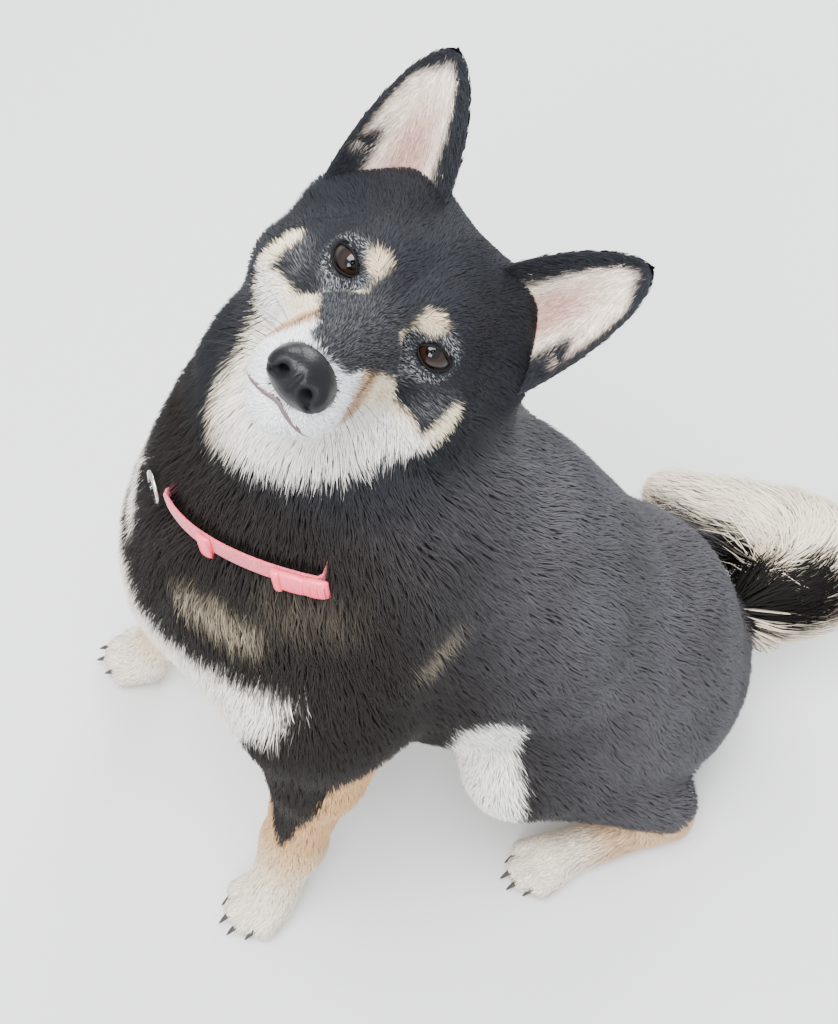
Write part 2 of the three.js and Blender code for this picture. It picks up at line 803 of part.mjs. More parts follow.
function noseSolid() {
  let nose = noseLeather();
  for (const side of [1, -1]) {
    const nostril = barAlong(
      [
        new THREE.Vector3(side * 5.2, NOSE.y - 20, NOSE.z - 3.5),
        new THREE.Vector3(side * 6.4, NOSE.y - 10, NOSE.z - 1.5),
        new THREE.Vector3(side * 9.5, NOSE.y - 4, NOSE.z + 1),
      ],
      [3.4, 3.2, 2.6, 1.2],
      9,
    );
    const slit = barAlong(
      [
        new THREE.Vector3(side * 7.5, NOSE.y - 12, NOSE.z - 2.5),
        new THREE.Vector3(side * 11.5, NOSE.y - 9, NOSE.z - 4),
        new THREE.Vector3(side * 16, NOSE.y - 4, NOSE.z - 5),
      ],
      [1.6, 1.3, 1.1, 0.9],
      7,
    );
    nose = nose.subtract(nostril).subtract(slit);
  }
  return nose;
}

// An ear is a cup: a curved blade with a rounded tip, open to the front and a little outward.
// The plug has the same outline with no hollow, for the socket in the head.
function earSolid(side, asPlug = false) {
  const [inner, outer, tip] = [EAR.inner, EAR.outer, EAR.tip].map((p) => new THREE.Vector3(...p));
  const base = inner.clone().lerp(outer, 0.5);
  const span = outer.clone().sub(inner);
  const axis = tip.clone().sub(base);
  const acrossTip = span.clone().projectOnPlane(axis).normalize();
  const steps = 8;
  const halfPoints = 6;
  const rings = Array.from({ length: steps + 1 }, (_, i) => {
    const t = -0.2 + (1.2 * i) / steps;
    const rise = Math.max(t, 0);
    const halfWidth = (span.length() / 2) * Math.sqrt(Math.max(1 - rise ** 2.3, 0.02)) * (1 - 0.3 * rise);
    const across = span.clone().normalize().lerp(acrossTip, rise).normalize();
    const back = new THREE.Vector3().crossVectors(axis, across).normalize();
    const depth = halfWidth * (0.62 - 0.3 * rise) * (t < 0 ? 0.9 : 1);
    const filled = asPlug ? 1 : Math.min(Math.max(1 - (t + 0.08) / 0.3, 0), 1) ** 0.7;
    const wall = 3.8 - 2 * rise;
    const centre = base.clone().addScaledVector(axis, t);
    const outline = [];
    for (let s = 0; s <= halfPoints; s++) {
      const u = -1 + (2 * s) / halfPoints;
      outline.push([u * halfWidth, depth * (1 - u * u) + wall * 0.5]);
    }
    for (let s = halfPoints; s >= 0; s--) {
      const u = (-1 + (2 * s) / halfPoints) * 0.96;
      outline.push([u * halfWidth, depth * (1 - u * u) * (1 - filled) - wall * 0.5]);
    }
    return outline.map(([a, b]) => {
      const p = centre.clone().addScaledVector(across, a).addScaledVector(back, b - depth * 0.4);
      p.x *= side;
      return p;
    });
  });
  return skinRings(rings);
}

// Collar: a flat band that follows the neck, sunk a little into the coat.
function collarPoint(angle, outward) {
  const [cx, cy] = [-36, -88];
  const direction = [Math.cos(angle), Math.sin(angle)];
  const heightAt = (x, y) => COLLAR_PLANE.height + COLLAR_PLANE.x * (x + 4) + COLLAR_PLANE.y * (y + 176);
  let reach = 40;
  for (let step = 0; step < 60; step++) {
    const [x, y] = [cx + reach * direction[0], cy + reach * direction[1]];
    reach -= dog(x, y, heightAt(x, y)) * 0.7;
  }
  const [x, y] = [cx + (reach + outward) * direction[0], cy + (reach + outward) * direction[1]];
  return new THREE.Vector3(x, y, heightAt(x, y));
}

function collarBand(grow = 0, outerGrow = grow) {
  const up = new THREE.Vector3(-COLLAR_PLANE.x, -COLLAR_PLANE.y, 1).normalize();
  const rings = Array.from({ length: 32 }, (_, i) => {
    const angle = (2 * Math.PI * i) / 32;
    const inner = collarPoint(angle, -2.5 - grow);
    const outer = collarPoint(angle, -2.5 + COLLAR_THICKNESS + outerGrow);
    const half = COLLAR_WIDTH / 2 + grow;
    return [
      inner.clone().addScaledVector(up, -half),
      outer.clone().addScaledVector(up, -half),
      outer.clone().addScaledVector(up, half),
      inner.clone().addScaledVector(up, half),
    ];
  });
  return skinRings(rings, true);
}

// A fitting of the collar lies on the outside of the band, between two angles round the neck.
function collarFitting([from, to], halfWidth, thickness, grow = 0) {
  const up = new THREE.Vector3(-COLLAR_PLANE.x, -COLLAR_PLANE.y, 1).normalize();
  const reach = grow / 90;
  const steps = to - from > 0.1 ? 4 : 2;
  const rings = Array.from({ length: steps }, (_, i) => {
    const angle = from - reach + ((to - from + 2 * reach) * i) / (steps - 1);
    const near = -2.5 + COLLAR_THICKNESS + SEAM_GAP;
    const outline = [
      [near - grow, -halfWidth - grow],
      [near + thickness * 0.6 + grow, -halfWidth - grow],
      [near + thickness + grow, -halfWidth + 2],
      [near + thickness + grow, halfWidth - 2],
      [near + thickness * 0.6 + grow, halfWidth + grow],
      [near - grow, halfWidth + grow],
    ];
    return outline.map(([outward, height]) => collarPoint(angle, outward).addScaledVector(up, height));
  });
  return skinRings(rings);
}

// The side-release buckle: its body, with a raised frame at the end and ribs for the grip.
function collarBuckle() {
  const [from, to] = BUCKLE_SPAN;
  let buckle = collarFitting(BUCKLE_SPAN, 7.5, 4.2);
  buckle = buckle.add(collarFitting([from + 0.005, from + 0.05], 7.2, 5.4));
  for (let i = 0; i < 3; i++) {
    const angle = from + (to - from) * (0.5 + 0.16 * i);
    buckle = buckle.add(collarFitting([angle, angle + 0.018], 6, 4.8));
  }
  return buckle;
}

// The steel ring hangs flat against the band and the coat below it.
function collarRing() {
  const ring = new THREE.TorusGeometry(RING_RADIUS, 1.3, 5, 14);
  const centre = collarPoint(RING_ANGLE, 2).sub(new THREE.Vector3(0, 0, 0.6 * RING_RADIUS));
  const away = new THREE.Vector3(Math.cos(RING_ANGLE), Math.sin(RING_ANGLE), 0);
  const upright = new THREE.Vector3(0, 0, 1);
  const sideways = new THREE.Vector3().crossVectors(upright, away);
  const turn = new THREE.Matrix4().makeBasis(sideways, upright, away).setPosition(centre);
  return solidOf(ring.applyMatrix4(turn));
}

const COAT_BLACK = { color: 0x2b2d31, roughness: 0.75, metalness: 0 };
const COAT_CREAM = { color: 0xd8cbb6, roughness: 0.8, metalness: 0 };
const LEATHER_BLACK = { color: 0x121316, roughness: 0.3, metalness: 0 };
const IRIS_BROWN = { color: 0x3a2413, roughness: 0.08, metalness: 0 };
const CLAW_HORN = { color: 0x3b342d, roughness: 0.45, metalness: 0 };
const WEBBING_PINK = { color: 0xe4717f, roughness: 0.6, metalness: 0 };
const PLASTIC_PINK = { color: 0xee7f8e, roughness: 0.35, metalness: 0 };
const METAL_BRIGHT = { color: 0xb9b6ae, roughness: 0.3, metalness: 1 };

const group = new THREE.Group();
group.name = 'shiba_inu_sitting';

function addNode(name, solid, look, turn = null) {
  const largest = solid.decompose().sort((a, b) => b.volume() - a.volume())[0];
  const geometry = geometryOf(largest);
  if (turn) geometry.applyMatrix4(turn);
  const mesh = new THREE.Mesh(geometry, new THREE.MeshStandardMaterial(look));
  mesh.name = name;
  group.add(mesh);
  return mesh;
}

function unturned(solid) {
  return solidOf(geometryOf(solid).applyMatrix4(HEAD_UNTURN));
}

const trunk = trunkSolid();
const thighRight = thighSolid('thigh_right');
const collarRoom = [
  collarBand(SEAM_GAP, 12),
  collarFitting(BUCKLE_SPAN, 7.5, 12, 2 * SEAM_GAP),
  collarFitting(SLIDER_SPAN, 8.5, 12, 2 * SEAM_GAP),
  socketOf(collarRing()),
];
addNode('torso', trunk, COAT_BLACK);
addNode('neck', collarRoom.reduce((neck, room) => neck.subtract(room), neckSolid()), COAT_BLACK);
addNode('collar_band', collarBand(), WEBBING_PINK);
addNode('collar_buckle', collarBuckle(), PLASTIC_PINK);
addNode('collar_slider', collarFitting(SLIDER_SPAN, 8.5, 4), PLASTIC_PINK);
addNode('collar_ring', collarRing(), METAL_BRIGHT);
const tail = tailSolid(trunk, thighRight);
const bend = tailStation(0.5);
const bendBack = bend.along.clone().negate();
addNode('tail_root', tail.subtract(blockBeyond(bend.centre, bend.along, -SEAM_GAP / 2)), COAT_BLACK);
addNode('tail_tip', tail.subtract(blockBeyond(bend.centre, bendBack, -SEAM_GAP / 2)), COAT_BLACK);
addNode('head', headSolid().subtract(unturned(below(HEAD_SEAM))), COAT_BLACK, HEAD_TURN);
addNode('nose', noseSolid(), LEATHER_BLACK, HEAD_TURN);
eyeCentres().forEach((centre, i) => {
  addNode(i ? 'eye_right' : 'eye_left', sphereAt(centre, EYE_RADIUS, 2), IRIS_BROWN, HEAD_TURN);
});
addNode('ear_left', earSolid(1), COAT_BLACK, HEAD_TURN);
addNode('ear_right', earSolid(-1), COAT_BLACK, HEAD_TURN);

addNode('thigh_left', thighSolid('thigh_left'), COAT_BLACK);
addNode('thigh_right', thighRight, COAT_BLACK);

const LEG_PARTS = [
  ['leg_front_left', FORELEGS.left, 9.4, 9.8],
  ['leg_front_right', FORELEGS.right, 9.4, 9.8],
  ['leg_hind_left', HIND_LEGS.left, 8.6, 9.4],
  ['leg_hind_right', HIND_LEGS.right, 8.6, 9.4],
];
for (const [name, leg, spread, radius] of LEG_PARTS) {
  let solid = legSolid(name, leg);
  const claws = clawSolids(leg, spread, radius);
  for (const claw of claws) {
    solid = solid.subtract(socketOf(claw));
  }
  addNode(name, solid, COAT_CREAM);
  claws.forEach((claw, i) => {
    addNode(`${name.replace('leg', 'claw')}_${i + 1}`, claw.subtract(ground), CLAW_HORN);
  });
}

// The frame's origin is the middle of the footprint, on the ground.
const middle = new THREE.Box3().setFromObject(group).getCenter(new THREE.Vector3());
group.children.forEach((mesh) => mesh.geometry.translate(-middle.x, -middle.y, 0));

export default group;
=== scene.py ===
"""A sitting shiba inu with its head turned up: skin, coat, eyes, nose, claws and collar.

The flesh is a smooth field, negative inside, made of tapered limbs and ellipsoids that flow together.
The skin is that field's surface, sunk by the depth of the coat, and every tuft of the coat is a thin
tapered blade that is rooted in the skin and lies along the coat's own direction.
Lengths in the field's code are millimetres in the dog's frame: it faces -y, its left is +x.
"""

import math

import bpy
import numpy as np
from mathutils import Matrix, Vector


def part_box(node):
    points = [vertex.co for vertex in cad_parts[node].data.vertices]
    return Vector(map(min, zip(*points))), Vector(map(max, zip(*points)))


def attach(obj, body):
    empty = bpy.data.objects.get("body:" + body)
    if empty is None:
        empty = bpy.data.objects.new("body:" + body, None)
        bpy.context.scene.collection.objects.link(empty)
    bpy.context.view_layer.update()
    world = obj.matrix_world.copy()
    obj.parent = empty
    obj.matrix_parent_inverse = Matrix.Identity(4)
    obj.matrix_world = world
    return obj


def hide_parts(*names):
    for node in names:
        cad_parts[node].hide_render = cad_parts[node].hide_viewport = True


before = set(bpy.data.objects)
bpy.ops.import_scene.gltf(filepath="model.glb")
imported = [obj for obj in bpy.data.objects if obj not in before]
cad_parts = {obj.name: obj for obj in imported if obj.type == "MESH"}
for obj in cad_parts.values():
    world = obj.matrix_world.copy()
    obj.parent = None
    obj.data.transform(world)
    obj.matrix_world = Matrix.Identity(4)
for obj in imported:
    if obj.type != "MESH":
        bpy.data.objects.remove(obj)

bl_info = {
    "name": "Sitting shiba inu",
    "version": (1, 0, 0),
    "blender": (4, 5, 0),
    "location": "View3D > Sidebar > Shiba inu",
    "description": "Builds a sitting shiba inu with its coat, eyes and collar",
    "category": "Object",
}

MM = 0.001


def unit(v):
    """The vectors at length one."""
    return v / np.maximum(np.linalg.norm(v, axis=-1, keepdims=True), 1e-9)


# The head's frame: origin midway between the eyes, x to its left, y back, z to the crown.
EYES_MIDDLE = np.array([-18.0, -65.0, 472.0])
GAZE = unit(np.array([0.61, -0.37, 0.69]))
CROWN_HINT = np.array([-0.22, 0.77, 0.6])
CROWN = unit(CROWN_HINT - GAZE * (CROWN_HINT @ GAZE))
HEAD_AXES = np.stack([np.cross(-GAZE, CROWN), -GAZE, CROWN])

EYE_CENTRE = np.array([28.5, 12.0, 0.0])
EYE_RADIUS = 10.5
EYE_OPENING = {"width": 17.0, "height": 9.8, "tilt": 0.2, "turn": 0.3}
NOSE = np.array([0.0, -68.0, -35.0])
NOSE_HALF_WIDTH = 17.0
EAR = {
    "inner": np.array([21.0, 52.0, 51.0]),
    "outer": np.array([74.0, 60.0, 17.0]),
    "tip": np.array([69.0, 38.0, 100.0]),
}

FORELEGS = {
    "left": {
        "shoulder": (62, -112, 250),
        "elbow": (78, -116, 188),
        "wrist": (78, -130, 76),
        "knuckles": (88, -148, 19),
        "toes": (94, -164, 11),
    },
    "right": {
        "shoulder": (-76, -138, 250),
        "elbow": (-84, -134, 190),
        "wrist": (-95, -174, 76),
        "knuckles": (-104, -194, 19),
        "toes": (-111, -211, 11),
    },
}
HIND_LEGS = {
    "left": {
        "hip": (44, 114, 92),
        "knee": (84, 10, 136),
        "hock": (98, 131, 16),
        "knuckles": (108, 46, 17),
        "toes": (112, 26, 11),
    },
    "right": {
        "hip": (-36, 114, 92),
        "knee": (-78, 14, 130),
        "hock": (-86, 126, 16),
        "knuckles": (-102, 50, 17),
        "toes": (-107, 30, 11),
    },
}
TAIL_CURL = np.array(
    [
        [7, 172, 89, 24],
        [-5, 217, 98, 32],
        [-9, 254, 107, 33],
        [-24, 270, 113, 36],
        [-43, 248, 114, 35],
        [-68, 211, 113, 28],
        [-102, 178, 112, 11],
    ],
    float,
)
TAIL_CORE = 0.5
CLAW_LENGTH = 9.0
COLLAR_PLANE = {"x": 0.06, "y": 0.13, "height": 353.0}
COLLAR_MIDDLE = np.array([-36.0, -88.0])
BAND_INSIDE = -2.5
BAND_THICKNESS = 2.2
BAND_SUNK = 17.0
BUCKLE_SPAN = (-0.51, -0.22)
SLIDER_SPAN = (-0.98, -0.9)
RING_ANGLE = -1.474
RING_RADIUS = 8.5


def to_head(p):
    """Places in the dog's frame, turned and moved into the head's."""
    return (p - EYES_MIDDLE) @ HEAD_AXES.T


def from_head(q):
    """Places in the head's frame, back in the dog's."""
    return q @ HEAD_AXES + EYES_MIDDLE


def frame_shift():
    """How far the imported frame's origin lies from the dog's, read off where its left eye is."""
    low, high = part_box("eye_left")
    centre = (np.array(low) + np.array(high)) / 2 / MM
    shift = centre - from_head(EYE_CENTRE)
    shift[2] = 0.0
    return shift


SHIFT = frame_shift()


# Fields. Each takes points as rows and gives one distance a point, negative inside.
def soft_min(a, b, reach):
    """The smaller of two fields, rounded where they are within reach of each other."""
    near = np.maximum(reach - np.abs(a - b), 0) / reach
    return np.minimum(a, b) - near * near * reach / 4


def flow(reach, *fields):
    """All the fields joined one after another, each rounded into the ones before it."""
    whole = fields[0]
    for field in fields[1:]:
        whole = soft_min(whole, field, reach)
    return whole


def limb(p, a, b, start_radius, end_radius):
    """Distance to a segment, less a radius that runs evenly from one end to the other."""
    a, b = np.asarray(a, float), np.asarray(b, float)
    d = b - a
    along = np.clip(((p - a) @ d) / (d @ d), 0, 1)
    away = p - a - along[:, None] * d
    return np.sqrt(np.einsum("ij,ij->i", away, away)) - (start_radius + along * (end_radius - start_radius))


def ellipsoid(p, centre, radii):
    """The ellipsoid's level, scaled by its slope so that it is close to a distance near the surface."""
    s = (p - np.asarray(centre, float)) / np.asarray(radii, float)
    level = np.linalg.norm(s, axis=1)
    slope = np.linalg.norm(s / np.asarray(radii, float), axis=1)
    return level * (level - 1) / np.maximum(slope, 1e-9)


def both_sides(p):
    """The points with their x made positive, so that one form stands for both sides."""
    return np.column_stack([np.abs(p[:, 0]), p[:, 1], p[:, 2]])


def narrowed(p, factor):
    """The points spread sideways, which makes what is measured from them narrower by the factor."""
    return p / [factor, 1, 1]


def trunk_field(p):
    """The barrel as three limbs from chest to rump, with the forechest, the withers and the shoulders."""
    barrel = flow(
        30,
        limb(narrowed(p, 0.92), (-16, -82, 285), (2, 0, 220), 94, 96),
        limb(narrowed(p, 0.94), (2, 0, 220), (8, 92, 142), 96, 80),
        limb(narrowed(p, 0.98), (8, 92, 142), (8, 126, 78), 80, 80),
    )
    forechest = flow(
        20,
        limb(p, (-26, -122, 305), (-30, -138, 250), 60, 62),
        limb(p, (-30, -138, 250), (10, -112, 226), 62, 58),
    )
    withers = limb(p, (-18, -66, 352), (-4, 0, 300), 52, 46)
    left_shoulder = limb(p, (40, -72, 335), (64, -112, 255), 42, 44)
    right_shoulder = limb(p, (-72, -80, 330), (-80, -138, 255), 40, 42)
    return flow(50, barrel, withers, forechest, left_shoulder, right_shoulder)


def neck_field(p):
    """Two limbs: up from the chest, and on to the back of the skull."""
    skull_back = from_head(np.array([0.0, 72.0, -14.0]))
    return flow(
        30,
        limb(p, (-26, -92, 300), (-44, -82, 372), 84, 76),
        limb(p, (-40, -66, 360), skull_back, 70, 48),
    )


def toe_offsets(spread):
    """Each toe's place across the foot, and how far it reaches ahead."""
    return [(step * spread, 5.0 if abs(step) < 1 else -3.0) for step in (-1.5, -0.5, 0.5, 1.5)]


def foot_axes(leg):
    """The level directions along a foot and across it."""
    forward = unit(np.subtract(leg["toes"], leg["knuckles"]) * [1.0, 1.0, 0.0])
    return forward, np.array([-forward[1], forward[0], 0.0])


def toes_field(p, leg, spread, radius):
    """Four limbs side by side, from under the knuckles to the tips of the toes."""
    forward, side = foot_axes(leg)
    knuckles, toes = np.array(leg["knuckles"], float), np.array(leg["toes"], float)
    row = [
        limb(
            p,
            knuckles + side * across * 0.7 - [0, 0, 4],
            toes + side * across + forward * ahead - [0, 0, 0.8],
            radius,
            radius,
        )
        for across, ahead in toe_offsets(spread)
    ]
    return flow(2.2, *row)


def foreleg_field(p, leg):
    """Limbs from shoulder to elbow, wrist and knuckles, then the foot with its toes."""
    arm = flow(
        16,
        limb(p, leg["shoulder"], leg["elbow"], 42, 30),
        limb(p, leg["elbow"], leg["wrist"], 26, 19),
        limb(p, leg["wrist"], leg["knuckles"], 19, 18),
    )
    return flow(6, arm, limb(p, leg["knuckles"], leg["toes"], 17, 9), toes_field(p, leg, 9.4, 9.8))


def hind_leg_field(p, leg):
    """A folded leg: limbs from hip to knee and back down to the hock, then the foot along the ground."""
    x, y, z = leg["hock"]
    thigh = flow(
        18,
        limb(p, leg["hip"], leg["knee"], 53, 33),
        limb(p, leg["knee"], (x, y - 14, z + 28), 32, 20),
        limb(p, (x, y - 2, z + 22), leg["hock"], 17, 15.5),
    )
    foot = flow(6, limb(p, leg["hock"], leg["knuckles"], 16.5, 15.5), toes_field(p, leg, 8.6, 9.4))
    return flow(12, thigh, foot)


def head_field(q):
    """Skull, cheeks, muzzle and brows flowing together, with a shallow hollow cut for each eye."""
    m = both_sides(q)
    skull = flow(
        22,
        ellipsoid(q, (0, 52, 0), (56, 54, 50)),
        ellipsoid(m, (36, 46, -26), (38, 42, 36)),
        limb(m, (34, 66, 30), (60, 66, 4), 20, 17),
        limb(q, (0, 30, -50), (0, -20, -50), 30, 20),
    )
    muzzle = flow(
        12,
        limb(q, (0, -2, -22), (0, -56, -32), 29, 18.5),
        limb(m, (9, -8, -38), (10, -52, -43), 21, 15),
        limb(q, (0, 0, -54), (0, -50, -56), 19, 15),
    )
    brows = ellipsoid(m, (20, 13, 14), (19, 15, 13))
    orbit = ellipsoid(m, (32, -7, -1), (15, 10, 11))
    return -soft_min(-flow(16, skull, muzzle, brows), orbit, 7)


def flesh_field(p, q):
    """The outside of the coat, without ears and tail."""
    upper = flow(40, trunk_field(p), neck_field(p))
    with_forelegs = flow(22, upper, *[foreleg_field(p, leg) for leg in FORELEGS.values()])
    with_legs = flow(24, with_forelegs, *[hind_leg_field(p, leg) for leg in HIND_LEGS.values()])
    return flow(16, with_legs, head_field(q))


def tail_field(p):
    """Limbs along the curl, as thick as the tail is without its long hair."""
    steps = zip(TAIL_CURL[:-1], TAIL_CURL[1:])
    return flow(10, *[limb(p, a[:3], b[:3], a[3] * TAIL_CORE, b[3] * TAIL_CORE) for a, b in steps])


# Where each part of the coat is, as weights from 0 to 1.
def ramp(value, start, end):
    """A smooth step from 0 at start to 1 at end."""
    t = np.clip((value - start) / (end - start), 0, 1)
    return t * t * (3 - 2 * t)


def wobble(p, size, seed):
    """Smooth noise from -1 to 1: a sum of sines of the place in seeded directions."""
    random = np.random.default_rng(seed)
    total = np.zeros(len(p))
    for octave in range(3):
        for _ in range(4):
            direction = unit(random.normal(size=3)) * 2 * np.pi / (size / 1.9**octave)
            total += np.sin(p @ direction + random.uniform(0, 6.28)) / 1.6**octave
    return np.clip(total / 4.2, -1, 1)


# The tufts of each kind of coat: depth over the skin, length, width and spacing.
COAT_KINDS = {
    "muzzle": (0.9, 3.4, 0.46, 0.95),
    "face": (1.6, 4.8, 0.47, 0.98),
    "cheek": (6.5, 13.0, 0.63, 1.26),
    "neck": (8.5, 17.0, 0.82, 1.69),
    "body": (6.0, 11.5, 0.9, 1.7),
    "leg": (3.0, 9.0, 0.78, 1.62),
    "foot": (1.5, 5.0, 0.67, 1.34),
}
TAIL_COAT = {"length": 42.0, "width": 1.1, "spacing": 1.65}
# No hair is nearer the ground than this.
LEAST_HEIGHT = 0.1


def head_share(p, q):
    """1 on the head, 0 on the neck."""
    return ramp(p[:, 2], 372, 408) * ramp(q[:, 1], 120, 70)


def coat_shares(p, q):
    """The share of each kind of coat at each point; they add up to 1."""
    head = head_share(p, q)
    low_head = ramp(q[:, 2] - 0.25 * (q[:, 1] - 20), -28, -58)
    wide = ramp(np.abs(q[:, 0]), 46, 66)
    cheek = np.maximum(low_head * ramp(q[:, 1], -22, 14), wide * ramp(q[:, 1], 8, 36) * ramp(q[:, 2], 22, -8))
    muzzle = ramp(q[:, 1], 2, -22)
    foot = ramp(p[:, 2], 42, 24) * np.maximum(ramp(p[:, 1], 70, 40), ramp(p[:, 2], 24, 12))
    leg = ramp(p[:, 2], 186, 120) * ramp(p[:, 1], -70, -92)
    hind = ramp(p[:, 2], 64, 40)
    leg = np.maximum(leg, hind) * (1 - foot)
    shares = {
        "muzzle": head * muzzle,
        "cheek": head * (1 - muzzle) * cheek,
        "face": head * (1 - muzzle) * (1 - cheek),
        "foot": (1 - head) * foot,
        "leg": (1 - head) * leg * (1 - foot),
    }
    rest = np.maximum(1 - sum(shares.values()), 0)
    front = ramp(p[:, 1], 10, -50) * ramp(p[:, 2], 225, 275)
    shares["neck"] = rest * front
    shares["body"] = rest * (1 - front)
    return shares


def coat_measure(p, q, which):
    """One measure of the coat, mixed by the shares."""
    return sum(share * COAT_KINDS[kind][which] for kind, share in coat_shares(p, q).items())


def skin_field(p):
    """The flesh sunk by the coat's depth, joined with the tail and the eyeballs, less the eyes' openings."""
    q = to_head(p)
    flesh = flesh_field(p, q) + coat_measure(p, q, 0)
    flesh = soft_min(flesh, tail_field(p), 14)
    ball = np.linalg.norm(both_sides(q) - EYE_CENTRE, axis=1) - EYE_RADIUS - 1.2
    flesh = soft_min(flesh, ball, 5)
    return -soft_min(-flesh, eye_hollow(q), 1.5)


def eye_axes(side):
    """Across, up and forward directions of an eye's opening, in the head's frame."""
    turn, tilt = EYE_OPENING["turn"], EYE_OPENING["tilt"]
    forward = np.array([side * math.sin(turn), -math.cos(turn), 0])
    level = np.array([side * math.cos(turn), math.sin(turn), 0])
    up = np.array([0.0, 0.0, 1.0])
    across = math.cos(tilt) * level + math.sin(tilt) * up
    return across, math.cos(tilt) * up - math.sin(tilt) * level, forward


def eye_hollow(q):
    """An almond hole in the skin round the left and right eye, which the lids close."""
    across, up, forward = eye_axes(1)
    m = both_sides(q) - EYE_CENTRE
    a, b, c = m @ across, m @ up, m @ forward
    return ellipsoid(np.column_stack([a, b, c]), (0, 0, 9), (9.7, 6.1, 14.0))


# The skin, as a net with one vertex in each cell of a grid that the surface crosses.
def grid_lines(start, end, fine_start, fine_end, coarse, fine):
    """Places of a grid's planes: closer together between fine_start and fine_end."""
    lines = [start]
    while lines[-1] < end:
        inside = fine_start <= lines[-1] < fine_end
        lines.append(lines[-1] + (fine if inside else coarse))
    return np.array(lines)


def near_values(field, lines, step=8):
    """The field on the grid, worked out only in blocks that the surface can reach."""
    shape = tuple(len(line) for line in lines)
    picks = [np.append(np.arange(0, n - 1, step), n - 1) for n in shape]
    corners = np.stack(np.meshgrid(*[line[k] for line, k in zip(lines, picks)], indexing="ij"), -1)
    coarse = field(corners.reshape(-1, 3)).reshape(corners.shape[:3])
    values = np.empty(shape, np.float32)
    cell_of = [np.minimum(np.arange(n) // step, len(k) - 2) for n, k in zip(shape, picks)]
    sizes = [np.diff(line[k]) for line, k in zip(lines, picks)]
    reach = np.sqrt(sum(s**2 for s in np.meshgrid(*sizes, indexing="ij")))
    lowest = np.full(reach.shape, np.inf)
    for i in (0, 1):
        for j in (0, 1):
            for k in (0, 1):
                part = coarse[i : i + reach.shape[0], j : j + reach.shape[1], k : k + reach.shape[2]]
                lowest = np.minimum(lowest, np.abs(part))
    active = lowest < 0.75 * reach + 4
    sign = np.where(coarse[:-1, :-1, :-1] < 0, -50.0, 50.0)
    index = np.ix_(*cell_of)
    values[...] = sign[index]
    mask = active[index]
    places = np.nonzero(mask)
    points = np.column_stack([line[k] for line, k in zip(lines, places)])
    values[places] = field(points)
    return values


def surface_net(field, lines):
    """Vertices and quads: a vertex where the surface crosses a cell, and a quad round each crossed edge."""
    values = near_values(field, lines)
    inside = values < 0
    shape = np.array(values.shape) - 1
    count = np.zeros(shape, np.int8)
    for i in (0, 1):
        for j in (0, 1):
            for k in (0, 1):
                count += inside[i : i + shape[0], j : j + shape[1], k : k + shape[2]]
    cells = np.argwhere((count > 0) & (count < 8))
    total = np.zeros((len(cells), 3))
    crossings = np.zeros(len(cells))
    corners = [np.array([c & 1, (c >> 1) & 1, (c >> 2) & 1]) for c in range(8)]
    for a in corners:
        for axis in range(3):
            if a[axis]:
                continue
            b = a.copy()
            b[axis] = 1
            va = values[tuple((cells + a).T)]
            vb = values[tuple((cells + b).T)]
            crossed = (va < 0) != (vb < 0)
            t = np.where(crossed, va / np.where(crossed, va - vb, 1), 0)
            total += crossed[:, None] * (a + t[:, None] * (b - a))
            crossings += crossed
    part = total / crossings[:, None]
    vertices = np.column_stack(
        [line[c] + u * (line[c + 1] - line[c]) for line, c, u in zip(lines, cells.T, part.T)]
    )
    vertex_of = np.full(tuple(shape), -1, np.int64)
    vertex_of[tuple(cells.T)] = np.arange(len(cells))
    quads = []
    for axis in range(3):
        second, third = (axis + 1) % 3, (axis + 2) % 3
        first = np.take(inside, np.arange(shape[axis]), axis)
        after = np.take(inside, np.arange(1, shape[axis] + 1), axis)
        edges = np.argwhere(first != after)
        keep = (edges[:, second] > 0) & (edges[:, third] > 0)
        keep &= (edges[:, second] < shape[second]) & (edges[:, third] < shape[third])
        edges = edges[keep]
        ring = []
        for da, db in ((1, 1), (0, 1), (0, 0), (1, 0)):
            cell = edges.copy()
            cell[:, second] -= da
            cell[:, third] -= db
            ring.append(vertex_of[tuple(cell.T)])
        ring = np.column_stack(ring)
        leaves = first[tuple(edges.T)]
        ring[~leaves] = ring[~leaves][:, ::-1]
        quads.append(ring)
    return vertices, np.concatenate(quads)


def slope_of(field, p, step=0.4):
    """The field's slope by central differences; it points out of the flesh."""
    slope = np.empty_like(p)
    for axis in range(3):
        offset = np.zeros(3)
        offset[axis] = step
        slope[:, axis] = (field(p + offset) - field(p - offset)) / (2 * step)
    return slope


def drawn_to_surface(field, p, rounds=2, limit=1.0):
    """Each point moved along the slope until the field is nought there."""
    for _ in range(rounds):
        slope = slope_of(field, p)
        steep = np.maximum(np.einsum("ij,ij->i", slope, slope), 0.5)
        move = np.clip(field(p) / steep, -limit, limit)
        p = p - move[:, None] * slope
    return p


# The coat's colours as the eye sees them: red, green and blue from 0 to 1.
COLOURS = {
    "black": (0.15, 0.155, 0.17),
    "body_black": (0.135, 0.122, 0.115),
    # The grey at this key is painted sheen, the sky's light on black hair that faces up, not a colour of the
    # hair.
    "painted_sheen": (0.315, 0.31, 0.325),
    "cream": (0.95, 0.875, 0.745),
    "white": (0.96, 0.965, 0.97),
    "tan": (0.8, 0.61, 0.41),
}


def linear(colour):
    """Light for an eye value: the inverse of the usual display curve."""
    c = np.asarray(colour, float)
    return np.where(c <= 0.04045, c / 12.92, ((c + 0.055) / 1.055) ** 2.4)


def mixed(a, b, share):
    """A mixture of a and b: a at share 0, b at share 1."""
    return a + (b - a) * share


def patch(p, a, b, start_radius, end_radius, soft=1.5):
    """1 inside a capsule's shape and 0 outside it, with an edge that is soft by that many millimetres."""
    return ramp(-limb(p, a, b, start_radius, end_radius), -soft, soft)


